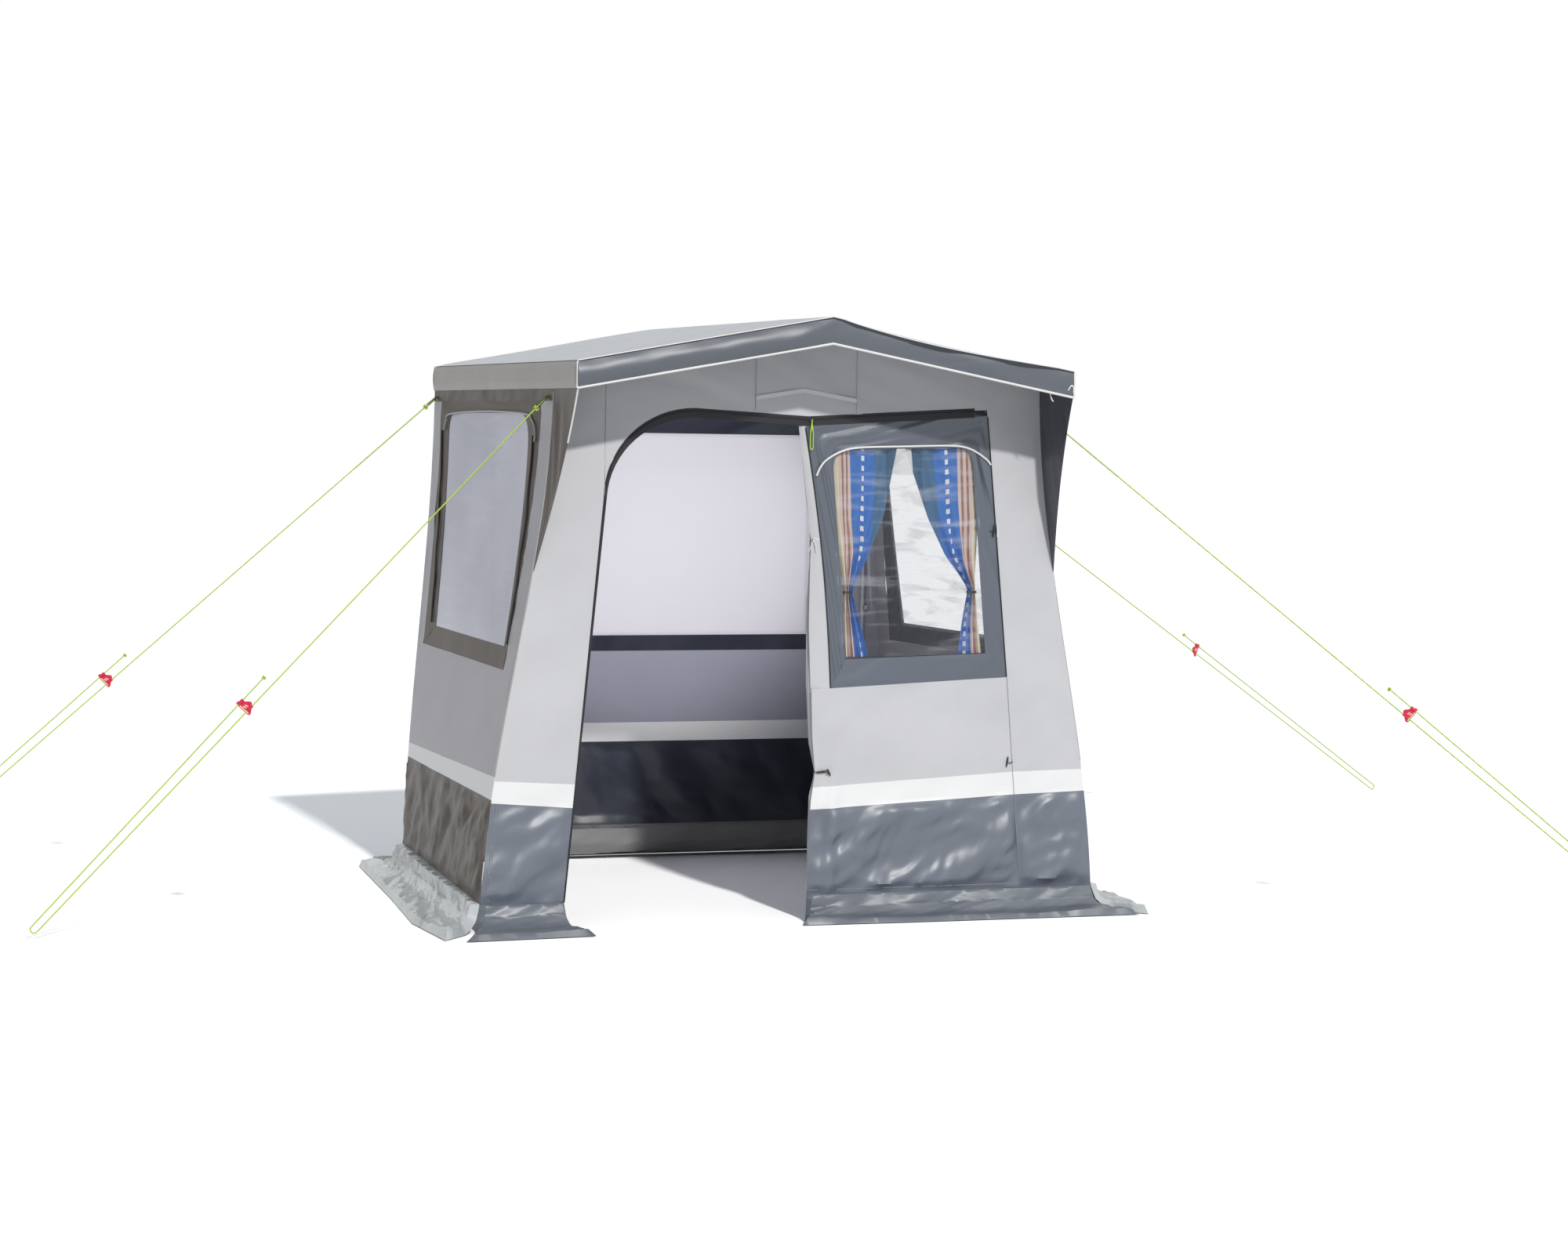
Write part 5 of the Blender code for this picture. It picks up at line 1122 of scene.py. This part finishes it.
grid = []
for z in np.linspace(ROLL_FOOT, ROLL_HEAD, 90):
    left, right, depth = roll_at(z)
    squeeze = min(abs(z - LOWER_TIE), abs(z - UPPER_TIE))
    ripple = 0.07 + 0.05 * math.exp(-(squeeze / 0.06) ** 2)
    line = []
    for share in np.linspace(0, 1, 131):
        angle = 2 * math.pi * TURNS * share + 0.5
        reach = 0.45 + 0.55 * share
        reach *= 1 - ripple * (1 + math.cos(6 * angle + 3 * z + 2 * math.sin(2.2 * z))) / 2
        reach *= 1 - 0.04 * (1 + math.cos(13 * angle - 5 * z)) / 2
        line.append(on_front((left + right) / 2 + (right - left) / 2 * reach * math.cos(angle), z,
                             ROLL_FRONT + depth / 2 * (1 + reach * math.sin(angle))))
    grid.append(line)
cloth("rolled_door_cloth", grid, (0, -1, 0), [door_canvas], margin=0.02, held="gathered",
      replaces=("door_roll",), thickness=0.0008)

# Trims: piped arches over the windows, window zips, seam lines, toggles and cord ties, and the
# webbing loops that the guy ropes are tied to.
ash = grained("ash_piping", (186, 184, 182), (160, 158, 157), 0.5, 0.0, 150.0, 0.0003)
thread_grey = grained("seam_thread", (172, 173, 180), (150, 151, 158), 0.6, 0.0, 500.0, 0.0002)


def smooth_path(points, steps=6):
    """Rounded path through the given points."""
    made = []
    points = [np.array(point, float) for point in points]
    for before, a, b, after in zip(points[:1] + points, points, points[1:], points[2:] + points[-1:]):
        for k in range(steps):
            t = k / steps
            made.append(tuple(0.5 * (2 * a + (b - before) * t + (2 * before - 5 * a + 4 * b - after) * t * t
                                     + (3 * a - before - 3 * b + after) * t ** 3)))
    made.append(tuple(points[-1]))
    return made


def front_path(points, out):
    """Path on the front wall, raised by a little from the cloth."""
    return [on_front(x, z, -out) for x, z in points]


def side_path(side, points, out):
    """Path on a side wall, raised by a little from the cloth."""
    return [(side * (half_width(y, z) + out), FRONT_Y + y, z) for y, z in points]


arch = smooth_path([(0.050, 1.500), (0.064, 1.530), (0.088, 1.556), (0.141, 1.584), (0.209, 1.597),
                    (0.375, 1.603), (0.540, 1.607), (0.608, 1.597), (0.664, 1.566), (0.685, 1.544)])
piping("front_window_arch", front_path(arch, 0.0040), 0.0036, chalk)
left_zip = [(x + frame_left(z)[1], z) for x, z in levels(np.array([(0.1145, 0.786), (0.0085, 1.660)]), (20,))]
right_zip = levels(np.array([(0.7610, 0.818), (0.6712, 1.706)]), (20,))
for name, line in (("left", left_zip), ("right", right_zip)):
    piping(f"front_window_zip_{name}", front_path(line, 0.0014), 0.0022, webbing)
sill = levels(np.array([(0.168, 0.884), (0.680, 0.899)]), (10,))
piping("front_window_sill_seam", front_path(sill, 0.0006), 0.0012, moulded)
for name, side in (("left", -1), ("right", 1)):
    arch = smooth_path([(1.421, 1.632), (1.395, 1.668), (1.331, 1.690), (0.831, 1.700), (0.332, 1.692),
                        (0.240, 1.672), (0.194, 1.640), (0.186, 1.600)])
    piping(f"{name}_window_arch", side_path(side, arch, 0.0050), 0.0034, ash)
    for end, foot, top, wave in (("back", (1.372, 0.93), (1.455, 1.63), 7.0),
                                 ("front", (0.158, 0.93), (0.215, 1.62), 6.0)):
        line = []
        for share in np.linspace(0, 1, 41):
            y, z = mix(foot, top, share)
            line.append((y + 0.006 * math.sin(wave * math.pi * share) * math.sin(math.pi * share), z))
        piping(f"{name}_window_zip_{end}", side_path(side, line, 0.0038), 0.0035, webbing)
    line = [(0.003, z) for z in levels([1.765, 1.2, 0.52], (6, 8))]
    piping(f"{name}_corner_seam", side_path(side, line, 0.0006), 0.0026, ash)
wing = [(-0.0003 - wing_reach(z), z) for z in levels([VALANCE_FOOT, 1.60], (6,))]
piping("left_wing_piping", side_path(-1, wing, -0.0005), 0.0030, chalk)


def upright_seam(x, foot, steps):
    """Seam above the doorway, straight up to the roof."""
    return [(x, z) for z in levels([foot, gable(x)[1] - 0.01], (steps,))]


# Seams of the front wall, sewn with grey thread; the left corner's foot has two rows of stitches
corner_foot = [corner(z, -1) for z in levels([0.10, 0.42], (10,))]
SEAMS = {
    "right": [(seam_x(z) + 0.0005, z) for z in levels([0.095, 0.4, 0.815, 1.71], (6, 8, 16))],
    "left_top": upright_seam(-0.69, 1.43, 8),
    "insert_left": upright_seam(-0.17, 1.718, 6),
    "insert_right": upright_seam(0.19, 1.712, 6),
    "foot_left_a": [(x + 0.022, z) for x, z in corner_foot],
    "foot_left_b": [(x + 0.029, z) for x, z in corner_foot],
    "foot_right": [(x, 0.1006) for x in levels([0.0435, seam_x(0.1) - 0.0065], (10,))],
}
for name, points in SEAMS.items():
    piping(f"seam_{name}", front_path(points, 0.0022), 0.0008, thread_grey)
# Pale band across the header's insert, following the gable: painted light on the shaded header.
painted_light_band = cloth_finish("insert_stripe", (226, 226, 232), 0.45, crease=0.15, amount=0.2)
grid = [[on_front(x, 1.792 - SLOPE * abs(x) * 0.9 - drop, -0.0048) for x in np.linspace(-0.169, 0.189, 25)]
        for drop in (0.014, 0.007, 0.0)]
cloth("insert_stripe", grid, (0, -1, 0), [painted_light_band], margin=0.005, thickness=0.0008)


def toggle(name, center, length, along, tail):
    """Moulded toggle on a short loop of cord that is sewn into the seam."""
    along = Vector(along).normalized()
    path = [Vector(center) + along * length * (i / 10 - 0.5) for i in range(11)]
    bar = curve_object(f"{name}_bar", path, 0.0032, moulded)
    for i, point in enumerate(bar.data.splines[0].points):
        point.radius = 0.55 + 0.45 * math.sin(math.pi * i / 10)
    bar = to_mesh(bar)
    x, y, z = center
    sag = [(x, y + 0.001, z), (x + tail * 0.5, y - 0.001, z - 0.004), (x + tail, y + 0.003, z)]
    loop = to_mesh(curve_object(f"{name}_loop", smooth_path(sag), 0.0013, webbing))
    fixed(join(name, [bar, loop]))


toggle("seam_toggle_upper", on_front(0.702, 1.319, -0.0045), 0.046, (0.1, 0, 1), -0.014)
toggle("seam_toggle_lower", on_front(0.769, 0.523, -0.0045), 0.036, (0.15, 0, 1), 0.022)
toggle("fold_toggle_left", on_front(0.085, 0.503, -0.0050), 0.042, (1, 0, 0.12), -0.02)
toggle("fold_toggle_right", on_front(0.112, 0.500, -0.0050), 0.026, (0.5, 0, -1), -0.01)
piping("seam_toggle_eye", [on_front(0.716, z, -0.003) for z in (1.297, 1.318, 1.34)], 0.0028, chalk)

# Cord ties of the rolled door: white cord with a knot above, dark webbing below
for name, z, material, thick in (("upper", UPPER_TIE, chalk, 0.0022), ("lower", LOWER_TIE, webbing, 0.0026)):
    left, right, depth = roll_at(z)
    ring = oval(left - TIE_GAP, right + TIE_GAP, FRONT_Y + ROLL_FRONT + depth / 2, depth / 2 + TIE_GAP, z, 32)
    piping(f"door_tie_{name}", ring, thick, material)
bow = [knot("door_tie_knot", on_front(0.045, UPPER_TIE, -0.001), (1, 0, 0.2), 0.007, 0.0018, chalk)]
for i, dx in enumerate((-0.010, 0.006)):
    end = smooth_path([on_front(0.045, 1.285, -0.002), on_front(0.045 + dx, 1.268, -0.006),
                       on_front(0.043 + 1.6 * dx, 1.245, -0.003)])
    bow.append(to_mesh(curve_object(f"door_tie_end_{i}", end, 0.0014, chalk)))
fixed(join("door_tie_knot", bow))

# Guy loops: black webbing folded over the rope's knot and sewn under the valance
STRIP_WIDTH, STRIP_THICK, STRIP_RISE = 0.012, 0.0016, 0.0065
for name, (start, end, *_) in ROPES.items():
    start = Vector(start)
    along = (Vector(end) - start).normalized()
    flat = along.cross(Vector((0, 0, 1))).normalized()
    up = flat.cross(along).normalized()
    strips = []
    for i, rise in enumerate((STRIP_RISE, -STRIP_RISE)):
        sewn = start - along * 0.003 + up * rise * 0.4
        fold = start + along * 0.046 + up * rise * 0.6
        axis = (fold - sewn).normalized()
        strips.append(plate_bar(f"guy_strip_{i}_{name}", (sewn + fold) / 2, (axis, flat, axis.cross(flat)),
                                ((fold - sewn).length, STRIP_WIDTH, STRIP_THICK), webbing))
    fixed(join(f"guy_loop_{name}", strips))

# Hooks of white plastic at the right front corner: one under the valance and one on the wing
valance_hook = [(0.845, -0.004, 1.800), (0.850, -0.008, 1.812), (0.858, -0.008, 1.816),
                (0.864, -0.006, 1.806), (0.864, -0.005, 1.792)]
wing_hook = [(0.786, 0.012, 1.790), (0.790, 0.010, 1.772), (0.798, 0.012, 1.762)]
for name, points, thick, slot in (("valance_hook", valance_hook, 0.0024, "valance_cloth"),
                                  ("wing_hook", wing_hook, 0.0022, "brown_pvc")):
    path = smooth_path([(x, FRONT_Y - OVERHANG + y, z) for x, y, z in points])
    piping(name, path, thick, chalk)
